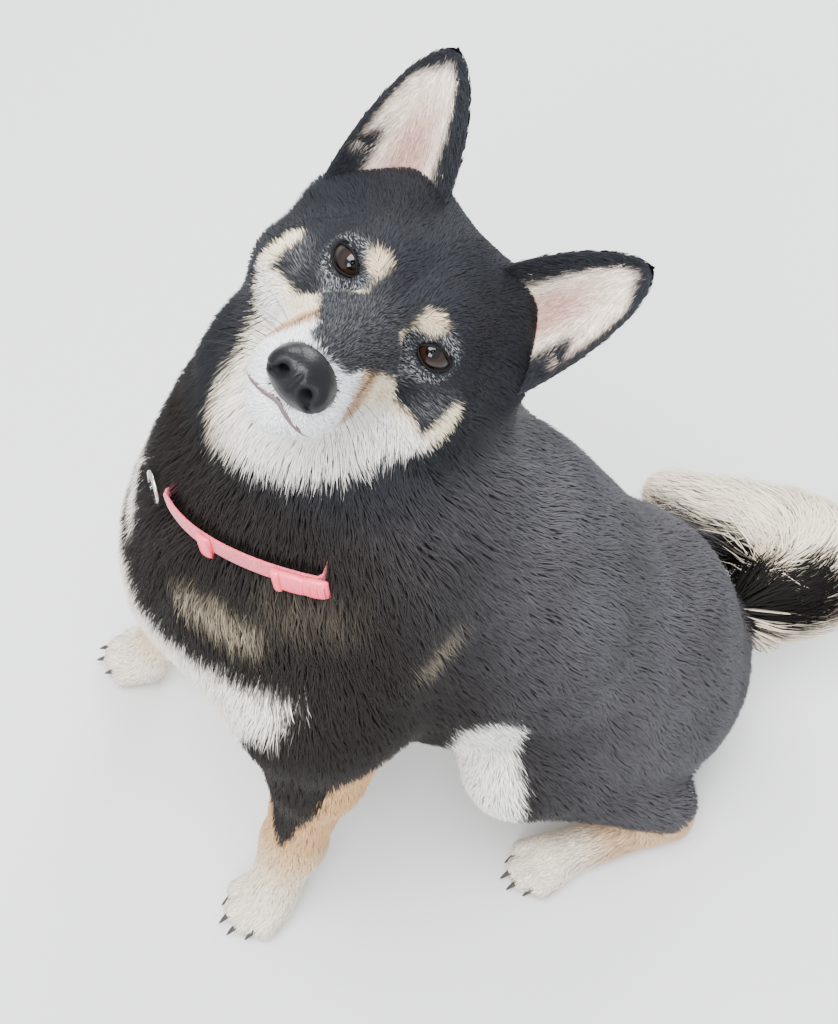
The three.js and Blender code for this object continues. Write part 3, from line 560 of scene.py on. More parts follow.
def head_light(q):
    """Share of pale coat on the head: muzzle sides, cheeks, throat, brow spots and cheek streaks."""
    m = both_sides(q)
    x, y, z = m.T
    bridge = np.interp(y, [-76, -70, -60, -50, -41, -30, -20], [5, 11, 13, 13.5, 17, 21, 25])
    muzzle_side = np.maximum(x - bridge - 0.5 * np.maximum(z + 20, 0), -24 - z)
    on_muzzle = ramp(muzzle_side, -1.5, 1.5) * ramp(y, -14, -24)
    cheek_top = -28 - 6 * ramp(x, 44, 62) - 5 * ramp(x, 22, 10) + 11 * ramp(y, 2, -16)
    behind = np.interp(z, [-125, -60, -41, -30], [27, 25, 17, 11])
    on_cheek = ramp(cheek_top - z, -2, 2) * ramp(behind - y, -3, 3)
    light = np.maximum(on_muzzle, on_cheek)
    light = np.maximum(light, patch(m, (16.5, -13, 0), (20, -6, 11), 3.5, 7.8, 2.2))
    light = np.maximum(light, patch(m, (59, 15, -32), (58, 16, -12), 6.5, 4.4, 2.2))
    return light


def head_colours(p, q, c):
    """The head's markings: pale patches on black, whiter at the nose, with tan, and painted shade in the fold
    beside the muzzle and under the jaw.
    """
    m = both_sides(q)
    y, z = m[:, 1], m[:, 2]
    over_throat = p[:, 2] - 388 - 0.28 * (p[:, 1] + 155) - 0.2 * np.maximum(-26 - p[:, 0], 0)
    light = head_light(q) * ramp(over_throat, -3, 3)
    whiter = 0.7 * ramp(z, -24, -40) * ramp(y, 34, 10)
    pale = mixed(c["cream"], c["white"], np.maximum(whiter, ramp(y, -34, -56))[:, None])
    tan = patch(m, (19, -42, -17), (24, -48, -34), 8.5, 8.5, 4) * 0.85
    tan = np.maximum(tan, patch(m, (30, -22, -26), (37, -8, -29), 3, 3, 3) * 0.5)
    tan = np.maximum(tan, patch(m, (16.5, -13, 0), (20, -6, 11), 3.5, 8) * 0.3)
    pale = mixed(pale, c["tan"] * 0.75, tan[:, None])
    colour = mixed(c["black"], pale, light[:, None])
    # Painted shade: a dark line in the fold beside the muzzle, darkest in its upper part.
    crease = patch(m, (18.8, -38, -15.5), (22.3, -47.5, -26.7), 2.1, 1.8, 1.2) * 0.85
    crease = np.maximum(crease, patch(m, (22.3, -47.5, -26.7), (25.4, -49.2, -37), 1.6, 1.2, 1.2) * 0.45)
    colour = mixed(colour, c["tan"] * 0.08, crease[:, None])
    # Painted shade: a dull tan line along the underside of the jaw, where the muzzle meets the throat.
    under = patch(m, (10, -72, -64), (24, -26, -66), 1.5, 3, 5) * 0.3
    colour = mixed(colour, c["tan"] * 0.5, under[:, None])
    # Nearly black inside the nose's block, as the leather is; where skin shows deep in the nostrils, it is
    # painted shade.
    within = ramp(np.linalg.norm((q - NOSE) / [17, 13, 13.5], axis=1), 1.0, 0.9)
    return mixed(colour, c["black"] * 0.1, within[:, None])


def grizzle(q):
    """How grey the face's black hair can be: round and below the eyes, on the bridge and on the cheeks."""
    m = both_sides(q)
    from_eye = np.linalg.norm((m - (28.5, 0, 0)) * [0.85, 1, 1], axis=1)
    ring = 0.35 * np.exp(-(((from_eye - 11.5) / 3.0) ** 2))
    below = 0.5 * patch(m, (26, -10, -12), (42, 0, -14), 3.5, 3.5, 3)
    bridge = 0.06 * ramp(m[:, 1], 0, -20)
    cheek = 0.12 * patch(m, (46, 4, -20), (52, 12, -12), 6, 6, 5)
    return np.maximum(np.maximum(ring, below), np.maximum(bridge, cheek))


def body_light(p, n):
    """Share of pale coat on the body: chest, belly, legs and feet."""
    x, y, z = p.T
    across = [-96, -86, -70, -52, 13, 31, 52, 70, 86, 96]
    top = np.interp(x, across, [294, 291, 285, 272, 261, 263, 275, 285, 291, 294])
    bottom = np.interp(x, [-110, -88, -66, -50, 45, 62, 85, 107], [262, 258, 200, 110, 110, 200, 260, 264])
    behind = np.interp(z, [200, 250, 272, 296], [100, 152, 142, 126])
    chest = ramp(top - z, -5, 5) * ramp(z - bottom, -6, 6) * ramp(-y - behind, -4, 4)
    light = np.maximum(chest, patch(p, (-66, -180, 306), (-44, -194, 298), 15, 11, 5))
    belly = ramp(-n[:, 2], 0.62, 0.85) * ramp(z, 190, 165)
    light = np.maximum(light, belly * 0.9)
    knee = patch(p, (97, -16, 203), (100, -14, 120), 22, 32, 4) * ramp(3 - y, -3, 3)
    other_knee = patch(p, (-93, -12, 197), (-94, -10, 114), 22, 32, 4) * ramp(7 - y, -3, 3)
    light = np.maximum(light, np.maximum(knee, other_knee))
    for side, leg in (1, FORELEGS["left"]), (-1, FORELEGS["right"]):
        light = np.maximum(light, foreleg_light(p, leg, side))
    for leg in HIND_LEGS.values():
        light = np.maximum(light, hind_leg_light(p, leg))
    return light


def foreleg_light(p, leg, side):
    """All of the lower foreleg but a black wedge down its front, which turns outward as it narrows."""
    x, y, z = p.T
    heights = [leg[k][2] for k in ("toes", "knuckles", "wrist", "elbow", "shoulder")]
    middle = np.interp(z, heights, [leg[k][0] for k in ("toes", "knuckles", "wrist", "elbow", "shoulder")])
    centre = np.interp(z, heights, [leg[k][1] for k in ("toes", "knuckles", "wrist", "elbow", "shoulder")])
    angle = np.degrees(np.arctan2(side * (x - middle), centre - y))
    inner = np.interp(z, [100, 120, 150, 205, 235], [34, 19, -5, -70, -150])
    outer = np.interp(z, [100, 120, 150, 205, 235], [36, 54, 65, 84, 112])
    black = ramp(angle - inner, -5, 5) * ramp(outer - angle, -5, 5) * ramp(z, 96, 106)
    near = ramp(-limb(p, leg["shoulder"], leg["elbow"], 46, 40), -10, 2)
    near = np.maximum(near, ramp(-limb(p, leg["elbow"], leg["toes"], 42, 30), -10, 0))
    return near * (1 - black) * ramp(224 - z, -6, 10)


def hind_leg_light(p, leg):
    """The foot along the ground, up to a line that rises behind the hock."""
    y, z = p[:, 1], p[:, 2]
    foot = ramp(-limb(p, leg["hock"], leg["toes"], 26, 26), -6, 0)
    return foot * ramp(np.interp(y, [40, 100, 130, 150], [39, 36, 44, 60]) - z, -4, 4)


def body_colours(p, n, c):
    """The body's markings: pale patches with tan on the legs, and painted sheen that greys the black where it
    faces up.
    """
    light = body_light(p, n)
    x, y, z = p.T
    pale = mixed(c["cream"], c["white"], (ramp(z, 60, 20) * 0.35)[:, None])
    below_elbow = ramp(np.interp(x, [90, 112], [215, 250]) - z, -10, 5)
    forelegs = 0.9 * ramp(z, 40, 110) * below_elbow * ramp(-y, 70, 90) * ramp(np.abs(x + 6), 50, 70)
    hocks = 0.75 * ramp(y, 50, 85) * ramp(z, 70, 50) * ramp(np.abs(x), 50, 70) * ramp(y, 175, 155)
    pale = mixed(pale, c["tan"], np.maximum(forelegs, hocks)[:, None])
    chest_and_knees = 0.55 * ramp(z, 225, 245) + 0.75 * ramp(y, -60, -30) * ramp(z, 90, 110)
    pale = mixed(pale, c["white"], chest_and_knees[:, None])
    # Painted sheen: the black turns grey where the hair faces up or outward, more toward the rear, as the
    # sky's light would show it.
    painted_sheen = ramp(y + 0.35 * (z - 230), -60, 75) * ramp(n[:, 2] + 0.6 * np.abs(n[:, 0]), -0.2, 0.45)
    painted_sheen = painted_sheen * (0.92 + 0.16 * wobble(p, 60, 14))
    dark = mixed(c["body_black"], c["painted_sheen"], painted_sheen[:, None])
    colour = mixed(dark, pale, light[:, None])
    chest = patch(p, (30, -177, 313), (56, -153, 317), 7, 7, 13) * (0.4 + 0.28 * wobble(p, 14, 3))
    neck = patch(p, (61, -135, 341), (76, -106, 348), 12, 8, 16) * (0.05 + 0.04 * wobble(p, 18, 6))
    shoulder = patch(p, (90, -60, 302), (84, -46, 318), 5, 4, 9) * 0.22
    mottle = np.maximum(np.maximum(chest, neck), shoulder)
    return mixed(colour, c["cream"], np.clip(mottle, 0, 1)[:, None])


def tail_station(p):
    """For each point: how far along the tail it is, from 0 to 1, with the radius, run and middle there."""
    best = np.full(len(p), np.inf)
    u, radius = np.zeros(len(p)), np.zeros(len(p))
    run, centre = np.zeros((len(p), 3)), np.zeros((len(p), 3))
    count = len(TAIL_CURL) - 1
    for i in range(count):
        a, b = TAIL_CURL[i], TAIL_CURL[i + 1]
        d = b[:3] - a[:3]
        t = np.clip(((p - a[:3]) @ d) / (d @ d), 0, 1)
        foot = a[:3] + t[:, None] * d
        away = np.linalg.norm(p - foot, axis=1)
        nearer = away < best
        best = np.where(nearer, away, best)
        u = np.where(nearer, (i + t) / count, u)
        radius = np.where(nearer, a[3] + t * (b[3] - a[3]), radius)
        run[nearer] = unit(d)
        centre[nearer] = foot[nearer]
    return u, radius, run, centre


def tail_colours(p, c):
    """Black, darkened by painted shade, inside the curl and over its first half; long cream hair outside it
    and over its second half.
    """
    u, _, run, centre = tail_station(p)
    out = unit(p - centre)
    inward = unit(np.cross([0, 0, 1.0], run))
    side = -np.einsum("ij,ij->i", out, inward) + (1.7 * ramp(u, 0.3, 0.55) - 0.9) * out[:, 2]
    side = side - 0.8 * ramp(u, 0.5, 0.3) + 0.25 * ramp(u, 0.45, 0.6)
    pale = np.maximum(ramp(side, -0.15, 0.3), ramp(u, 0.86, 0.96))
    # The tail's black is the body's black at 0.35: painted shade of the curl, where little light reaches.
    return mixed(c["body_black"] * 0.35, mixed(c["cream"], c["white"], 0.2), pale[:, None])


def coat_colours(p, n, c):
    """The markings at each place: the skin and every tuft read the same ones."""
    q = to_head(p)
    share = head_share(p, q)[:, None]
    colour = mixed(body_colours(p, n, c), head_colours(p, q, c), share)
    tail = ramp(tail_field(p) - flesh_field(p, q), 4, -4)[:, None]
    return mixed(colour, tail_colours(p, c), tail)


# The lie of the coat.
def lie_bones():
    """Segments that the coat follows: start, end, radius and direction of the hair."""
    bones = [
        ((-18, -66, 352), (-4, 0, 300), 50, (0.1, 0.8, -0.55)),
        ((-16, -82, 285), (2, 0, 220), 94, (0.1, 0.7, -0.75)),
        ((2, 0, 220), (8, 92, 142), 88, (0.05, 0.62, -0.78)),
        ((8, 92, 142), (8, 126, 78), 80, (0, 0.45, -0.9)),
        ((-26, -122, 305), (-30, -138, 250), 61, (0, -0.15, -1)),
        ((40, -72, 335), (64, -112, 255), 43, (0.1, 0.25, -1)),
        ((-72, -80, 330), (-80, -138, 255), 41, (-0.1, 0.25, -1)),
        ((-26, -92, 300), (-44, -82, 372), 80, (0.1, 0.1, -1)),
        ((-40, -66, 360), tuple(from_head(np.array([0.0, 72.0, -14.0]))), 60, (-0.1, 0.35, -1)),
    ]
    for leg in FORELEGS.values():
        joints = [leg[k] for k in ("shoulder", "elbow", "wrist", "knuckles", "toes")]
        for a, b, radius in zip(joints[:-1], joints[1:], (36, 23, 18, 13)):
            bones.append((a, b, radius, tuple(np.subtract(b, a))))
    for leg in HIND_LEGS.values():
        x, y, z = leg["hock"]
        bones.append((leg["hip"], leg["knee"], 43, (0, 0.35, -0.95)))
        bones.append((leg["knee"], (x, y - 14, z + 28), 26, (0, 0.75, -0.65)))
        bones.append((leg["hock"], leg["knuckles"], 16, tuple(np.subtract(leg["knuckles"], leg["hock"]))))
        bones.append((leg["knuckles"], leg["toes"], 12, tuple(np.subtract(leg["toes"], leg["knuckles"]))))
    for a, b in zip(TAIL_CURL[:-1], TAIL_CURL[1:]):
        bones.append((tuple(a[:3]), tuple(b[:3]), (a[3] + b[3]) / 2 * TAIL_CORE, tuple(b[:3] - a[:3])))
    return bones


def head_lie(q):
    """Over the head the hair runs back from the nose, up over the crown and down over the cheeks."""
    x, y, z = q.T
    spread = np.sign(x) * (0.12 + 0.5 * ramp(np.abs(x), 14, 56) * ramp(y, -30, 10))
    rise = 0.55 * ramp(z, 2, 30) * ramp(y, 50, 0) - 0.75 * ramp(-z, 12, 60) * ramp(y, -40, 10)
    return np.column_stack([spread, np.ones(len(q)), rise])


def coat_lie(p):
    """The hair's direction at each place: that of the segments round it, the nearest counting most."""
    q = to_head(p)
    distances, directions = [], []
    for a, b, radius, direction in lie_bones():
        distances.append(limb(p, a, b, radius, radius))
        directions.append(np.broadcast_to(unit(np.asarray(direction, float)), p.shape))
    distances.append(head_field(q) - 2)
    directions.append(unit(head_lie(q)) @ HEAD_AXES)
    distances = np.stack(distances)
    weights = np.exp(-(distances - distances.min(axis=0)) / 9)
    total = sum(w[:, None] * d for w, d in zip(weights, directions))
    return unit(total)


# Meshes.
def make_piece(name, vertices, faces, material, replaces=(), colours=None, maps=None, normals=None):
    """A mesh from arrays in the dog's millimetres; maps are given a vertex at a time. It rides on the dog."""
    mesh = bpy.data.meshes.new(name)
    loops = np.concatenate([f.ravel() for f in faces]).astype(np.int32)
    sizes = np.concatenate([np.full(len(f), f.shape[1]) for f in faces])
    starts = np.concatenate([[0], np.cumsum(sizes)[:-1]]).astype(np.int32)
    mesh.vertices.add(len(vertices))
    mesh.vertices.foreach_set("co", ((vertices + SHIFT) * MM).astype(np.float32).ravel())
    mesh.loops.add(len(loops))
    mesh.loops.foreach_set("vertex_index", loops)
    mesh.polygons.add(len(starts))
    mesh.polygons.foreach_set("loop_start", starts)
    mesh.polygons.foreach_set("use_smooth", np.ones(len(starts), bool))
    for map_name, uv in (maps or {}).items():
        layer = mesh.uv_layers.new(name=map_name)
        layer.uv.foreach_set("vector", uv[loops].astype(np.float32).ravel())
    if colours is not None:
        layer = mesh.color_attributes.new(name="Markings", type="FLOAT_COLOR", domain="POINT")
        rgba = np.column_stack([colours, np.ones(len(colours))]).astype(np.float32)
        layer.data.foreach_set("color", rgba.ravel())
    mesh.update(calc_edges=True)
    if normals is not None:
        mesh.normals_split_custom_set_from_vertices(normals)
    mesh.materials.append(material)
    piece = bpy.data.objects.new(name, mesh)
    bpy.context.scene.collection.objects.link(piece)
    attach(piece, "root")
    if replaces:
        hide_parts(*replaces)
    return piece


def ring_faces(rings, count, closed=False):
    """Quads between rings of count points each, the last joined to the first when closed."""
    r = np.arange(rings if closed else rings - 1)[:, None]
    i = np.arange(count)[None, :]
    after, beside = (r + 1) % rings, (i + 1) % count
    quads = np.stack([r * count + i, r * count + beside, after * count + beside, after * count + i], -1)
    return quads.reshape(-1, 4)


def tube(rings):
    """Vertices and faces of a skin over rings (rings, points, 3); each end is closed by a fan."""
    steps, count = rings.shape[:2]
    quads = ring_faces(steps, count)
    vertices = np.vstack([rings.reshape(-1, 3), rings[0].mean(axis=0), rings[-1].mean(axis=0)])
    i = np.arange(count)
    beside = (i + 1) % count
    first = np.column_stack([np.full(count, steps * count), beside, i])
    last_ring = (steps - 1) * count
    last = np.column_stack([np.full(count, steps * count + 1), last_ring + i, last_ring + beside])
    return vertices, [quads, np.vstack([first, last])]


def outward(vertices, faces):
    """The same faces, turned round when their signed volume is negative."""
    volume = 0.0
    middle = vertices.mean(axis=0)
    for f in faces:
        a = vertices[f[:, 0]] - middle
        for j in range(1, f.shape[1] - 1):
            b, c = vertices[f[:, j]] - middle, vertices[f[:, j + 1]] - middle
            volume += np.einsum("ij,ij->", a, np.cross(b, c))
    return [f if volume > 0 else f[:, ::-1] for f in faces]


def joined(parts):
    """Several (vertices, faces) in one."""
    vertices, faces, start = [], {}, 0
    for v, fs in parts:
        vertices.append(v)
        for f in fs:
            faces.setdefault(f.shape[1], []).append(f + start)
        start += len(v)
    return np.vstack(vertices), [np.vstack(f) for f in faces.values()]


def path_frames(points):
    """Two directions across a path at each of its points, turning as little as they can."""
    runs = unit(np.gradient(points, axis=0))
    first = unit(np.cross(runs[0], [0.3, 0.2, 1.0]))
    sides = [first]
    for run in runs[1:]:
        side = sides[-1] - (sides[-1] @ run) * run
        sides.append(unit(side))
    sides = np.array(sides)
    return sides, np.cross(runs, sides)


def bar(points, radii, sides=12, flatten=1.0):
    """A round bar along a path, with a radius at each point."""
    across, over = path_frames(points)
    angles = np.linspace(0, 2 * np.pi, sides, endpoint=False)
    radii = np.asarray(radii, float)[:, None, None]
    c, s = np.cos(angles)[None, :, None], flatten * np.sin(angles)[None, :, None]
    vertices, faces = tube(points[:, None] + radii * (c * across[:, None] + s * over[:, None]))
    return vertices, outward(vertices, faces)


def curve_through(points, count):
    """A smooth path through points, as a cubic whose slope at each is half the step across it."""
    points = np.asarray(points, float)
    padded = np.vstack([2 * points[0] - points[1], points, 2 * points[-1] - points[-2]])
    place = np.linspace(0, len(points) - 1, count)
    i = np.minimum(place.astype(int), len(points) - 2)
    t = (place - i)[:, None]
    a, b, c, d = (padded[i + k] for k in range(4))
    return 0.5 * (2 * b + (c - a) * t + (2 * a - 5 * b + 4 * c - d) * t**2 + (3 * b - a - 3 * c + d) * t**3)


# Materials.
def new_material(name, **sockets):
    """A material, its tree and its shader, whose sockets are set by name."""
    material = bpy.data.materials.new(name)
    material.use_nodes = True
    shader = material.node_tree.nodes["Principled BSDF"]
    for socket, value in sockets.items():
        shader.inputs[socket.replace("_", " ")].default_value = value
    return material, material.node_tree, shader


def add_node(tree, kind, settings=None, **inputs):
    """A node with its settings and its unlinked inputs set by name."""
    node = tree.nodes.new(kind)
    for name, value in (settings or {}).items():
        setattr(node, name, value)
    for name, value in inputs.items():
        node.inputs[name.replace("_", " ")].default_value = value
    return node


def hair_streaks():
    """Node group: a colour broken into fine strands, and the strands' height for a bump."""
    tree = bpy.data.node_groups.get("Hair streaks")
    if tree:
        return tree
    tree = bpy.data.node_groups.new("Hair streaks", "ShaderNodeTree")
    tree.interface.new_socket("Vector", in_out="INPUT", socket_type="NodeSocketVector")
    tree.interface.new_socket("Color", in_out="INPUT", socket_type="NodeSocketColor")
    depth = tree.interface.new_socket("Contrast", in_out="INPUT", socket_type="NodeSocketFloat")
    depth.default_value = 0.4
    tree.interface.new_socket("Color", in_out="OUTPUT", socket_type="NodeSocketColor")
    tree.interface.new_socket("Height", in_out="OUTPUT", socket_type="NodeSocketFloat")
    source = tree.nodes.new("NodeGroupInput")
    result = tree.nodes.new("NodeGroupOutput")
    noise = add_node(tree, "ShaderNodeTexNoise", Scale=1.0, Detail=2.0)
    tree.links.new(source.outputs["Vector"], noise.inputs["Vector"])
    spread = add_node(tree, "ShaderNodeMapRange", {}, From_Min=0.25, From_Max=0.75)
    tree.links.new(noise.outputs["Fac"], spread.inputs["Value"])
    low = add_node(tree, "ShaderNodeMath", {"operation": "SUBTRACT"})
    low.inputs[0].default_value = 1.0
    tree.links.new(source.outputs["Contrast"], low.inputs[1])
    high = add_node(tree, "ShaderNodeMath", {"operation": "ADD"})
    high.inputs[0].default_value = 1.0
    tree.links.new(source.outputs["Contrast"], high.inputs[1])
    tree.links.new(low.outputs[0], spread.inputs["To Min"])
    tree.links.new(high.outputs[0], spread.inputs["To Max"])
    scaled = add_node(tree, "ShaderNodeVectorMath", {"operation": "SCALE"})
    tree.links.new(source.outputs["Color"], scaled.inputs[0])
    tree.links.new(spread.outputs["Result"], scaled.inputs["Scale"])
    tree.links.new(scaled.outputs["Vector"], result.inputs["Color"])
    tree.links.new(noise.outputs["Fac"], result.inputs["Height"])
    return tree


def marked_material(name, vector_map, stretch, contrast, bump, roughness):
    """Coat or skin: the markings' colour, broken into strands along a map of its own or in space."""
    material = bpy.data.materials.get(name)
    if material:
        return material
    material, tree, shader = new_material(name, Roughness=roughness)
    shader.inputs["Specular IOR Level"].default_value = 0.09
    markings = add_node(tree, "ShaderNodeVertexColor", {"layer_name": "Markings"})
    if vector_map:
        place = add_node(tree, "ShaderNodeUVMap", {"uv_map": vector_map}).outputs["UV"]
    else:
        place = tree.nodes.new("ShaderNodeTexCoord").outputs["Object"]
    mapping = tree.nodes.new("ShaderNodeMapping")
    mapping.inputs["Scale"].default_value = stretch
    tree.links.new(place, mapping.inputs["Vector"])
    group = add_node(tree, "ShaderNodeGroup", {"node_tree": hair_streaks()}, Contrast=contrast)
    tree.links.new(mapping.outputs["Vector"], group.inputs["Vector"])
    tree.links.new(markings.outputs["Color"], group.inputs["Color"])
    tree.links.new(group.outputs["Color"], shader.inputs["Base Color"])
    raised = add_node(tree, "ShaderNodeBump", Strength=bump, Distance=0.0004)
    tree.links.new(group.outputs["Height"], raised.inputs["Height"])
    tree.links.new(raised.outputs["Normal"], shader.inputs["Normal"])
    return material


def coat_material():
    """Streaks that run along each tuft, on the tuft's own map."""
    return marked_material("Coat", "Strand", (4.0, 0.7, 1.0), 0.25, 0.25, 0.62)


def skin_material():
    """Fine speckles in space, for what shows between the tufts."""
    return marked_material("Skin under the coat", None, (900.0, 900.0, 900.0), 0.25, 0.5, 0.75)


# Skin.
SKIN = {}


def build_skin_arrays():
    """Vertices, quads and normals of the skin: fine cells round the head, wider ones elsewhere."""
    head_corners = from_head(np.array([[x, y, z] for x in (-80, 80) for y in (-90, 95) for z in (-80, 70)]))
    low, high = head_corners.min(axis=0), head_corners.max(axis=0)
    lines = [
        grid_lines(-158, 168, low[0], high[0], 4.4, 2.2),
        grid_lines(-240, 300, low[1], high[1], 4.6, 2.2),
        grid_lines(-6, 580, low[2], high[2], 4.6, 2.2),
    ]
    vertices, quads = surface_net(skin_field, lines)
    vertices = drawn_to_surface(skin_field, vertices)
    vertices[:, 2] = np.maximum(vertices[:, 2], 0.4)
    normals = unit(slope_of(skin_field, vertices))
    SKIN.update(vertices=vertices, quads=quads, normals=normals)


def scattered_roots(random, density):
    """Places strewn over the skin's triangles, on average one for each square of the coat's spacing."""
    quads, vertices, normals = SKIN["quads"], SKIN["vertices"], SKIN["normals"]
    triangles = np.vstack([quads[:, [0, 1, 2]], quads[:, [0, 2, 3]]])
    a, b, c = (vertices[triangles[:, i]] for i in range(3))
    areas = np.linalg.norm(np.cross(b - a, c - a), axis=1) / 2
    centres = (a + b + c) / 3
    spacing = coat_spacing(centres)
    expected = areas / spacing**2 * density
    counts = (expected + random.random(len(expected))).astype(int)
    pick = np.repeat(np.arange(len(triangles)), counts)
    s, t = np.sqrt(random.random(len(pick)))[:, None], random.random(len(pick))[:, None]
    weights = np.stack([1 - s, s * (1 - t), s * t])
    roots = weights[0] * a[pick] + weights[1] * b[pick] + weights[2] * c[pick]
    n = sum(w * normals[triangles[pick, i]] for i, w in enumerate(weights))
    return roots, unit(n)


def tail_share(p):
    """1 on the tail, 0 on the body."""
    return ramp(tail_field(p) - flesh_field(p, to_head(p)) - 6, 3, -3)


def coat_spacing(p):
    """How far apart the tufts are at each place."""
    return mixed(coat_measure(p, to_head(p), 3), TAIL_COAT["spacing"], tail_share(p))


def value_and_slope(field, p, step=0.5):
    """A field and its slope by forward differences."""
    value = field(p)
    slope = np.empty_like(p)
    for axis in range(3):
        offset = np.zeros(3)
        offset[axis] = step
        slope[:, axis] = (field(p + offset) - value) / step
    return value, slope


def grow_tufts(roots, normals, lie, length, width, height, stations, field=None):
    """Rings of three points along each blade: its middle line leaves the root, rises to its height over the
    skin and stays there. Stations are the rings' places as shares of the length; the last is the tip."""
    place, direction, up = roots - 0.8 * normals, lie, normals
    rows, ups, before = [place[:, None]], [unit(normals - 0.12 * lie)[:, None]], 0.0
    for s in stations:
        direction = unit(direction - np.einsum("ij,ij->i", direction, up)[:, None] * up)
        start = roots if before == 0 else place
        place = start + direction * ((s - before) * length)[:, None]
        target = height * (1 - (1 - s) ** 2)
        if field is None:
            place = place + up * (target - (height * (1 - (1 - before) ** 2)))[:, None]
        else:
            value, slope = value_and_slope(field, place)
            steep = np.maximum(np.einsum("ij,ij->i", slope, slope), 0.4)
            move = np.clip((target - value) / steep, -0.7 * length, 0.7 * length)
            place = place + move[:, None] * slope
            up = unit(slope)
        side = np.cross(up, direction)
        if s < 1:
            half = width / 2 * (1.0 if s < 0.5 else 0.72)
            rows.append(
                np.stack(
                    [
                        place + side * half[:, None] - up * 0.15 * half[:, None],
                        place + up * 0.55 * half[:, None],
                        place - side * half[:, None] - up * 0.15 * half[:, None],
                    ],
                    1,
                )
            )
            ups.append(np.stack([unit(up + 0.14 * side), up, unit(up - 0.14 * side)], 1))
        else:
            rows.append(place[:, None])
            ups.append(unit(up + 0.12 * direction)[:, None])
        before = s
    return np.concatenate(rows, 1), np.concatenate(ups, 1)


def tuft_faces(count, ring_count):
    """Triangles of all blades: a fan at the root, bands between rings and a fan at the tip."""
    per = 2 + 3 * ring_count
    faces = []
    for i in range(3):
        j = (i + 1) % 3
        faces.append([0, 1 + j, 1 + i])
        for r in range(ring_count - 1):
            a, b = 1 + 3 * r, 4 + 3 * r
            faces.append([a + i, a + j, b + j])
            faces.append([a + i, b + j, b + i])
        last = 1 + 3 * (ring_count - 1)
        faces.append([last + i, last + j, per - 1])
    faces = np.array(faces)
    return (np.arange(count)[:, None, None] * per + faces[None]).reshape(-1, 3)


def tuft_maps(unwrapped, stations, random):
    """Two maps: OFBake, a small patch for each blade at its root's place, and Strand along the blade."""
    ring_count = len(stations) - 1
    along = np.concatenate([[0.0], np.repeat(stations[:-1], 3), [1.0]])
    across = np.concatenate([[0.5], np.tile([0.0, 0.5, 1.0], ring_count), [0.5]])
    local = np.column_stack([across, along])
    bake = unwrapped[:, None] + (local[None] - 0.5) * 0.003
    strand = local[None] + random.uniform(0, 40, (len(unwrapped), 1, 2))
    return {"OFBake": bake.reshape(-1, 2), "Strand": strand.reshape(-1, 2)}


def unwrap(p, centre, axis):
    """Angle round an axis and height along it, each spread over 0.01 to 0.99."""
    axis = unit(np.asarray(axis, float))
    first = unit(np.cross(axis, [0.31, 0.2, 0.93]))
    second = np.cross(axis, first)
    r = p - np.asarray(centre, float)
    angle = np.arctan2(r @ second, r @ first) / (2 * np.pi) + 0.5
    height = r @ axis
    height = (height - height.min()) / max(np.ptp(height), 1e-6)
    return 0.01 + 0.98 * np.column_stack([angle, height])


# The coat's regions, with the centre and the axis of the unwrap of each.
REGIONS = {
    "head": ((-18, -65, 440), GAZE),
    "neck": ((-36, -88, 340), (0, 0, 1)),
    "trunk": ((0, 0, 220), (0.1, 0.75, -0.65)),
    "forelegs": ((0, -150, 90), (0, 0, 1)),
    "hind_legs": ((0, 70, 60), (0, 1, 0)),
    "tail": ((-20, 215, 105), (0, 0, 1)),
}


def region_of(p):
    """The number of the region each place belongs to."""
    q = to_head(p)
    region = np.full(len(p), 2)
    region[p[:, 2] > 300 + 0.25 * (p[:, 1] + 85)] = 1
    region[head_share(p, q) > 0.5] = 0
    region[(p[:, 2] < 175) & (p[:, 1] < -80)] = 3
    region[(p[:, 2] < 62) & (p[:, 1] > -50)] = 4
    region[tail_share(p) > 0.5] = 5
    return region


def collar_place(p):
    """Height over the collar's middle plane and angle round the neck."""
    x, y, z = p.T
    height = z - (COLLAR_PLANE["height"] + COLLAR_PLANE["x"] * (x + 4) + COLLAR_PLANE["y"] * (y + 176))
    angle = np.arctan2(y - COLLAR_MIDDLE[1], x - COLLAR_MIDDLE[0])
    return height, angle


def collar_shown(angle):
    """1 along the front of the neck, where the band lies on the coat, and 0 where it is sunk in it."""
    return ramp(angle, -1.38, -1.28) * ramp(angle, -0.2, -0.27)


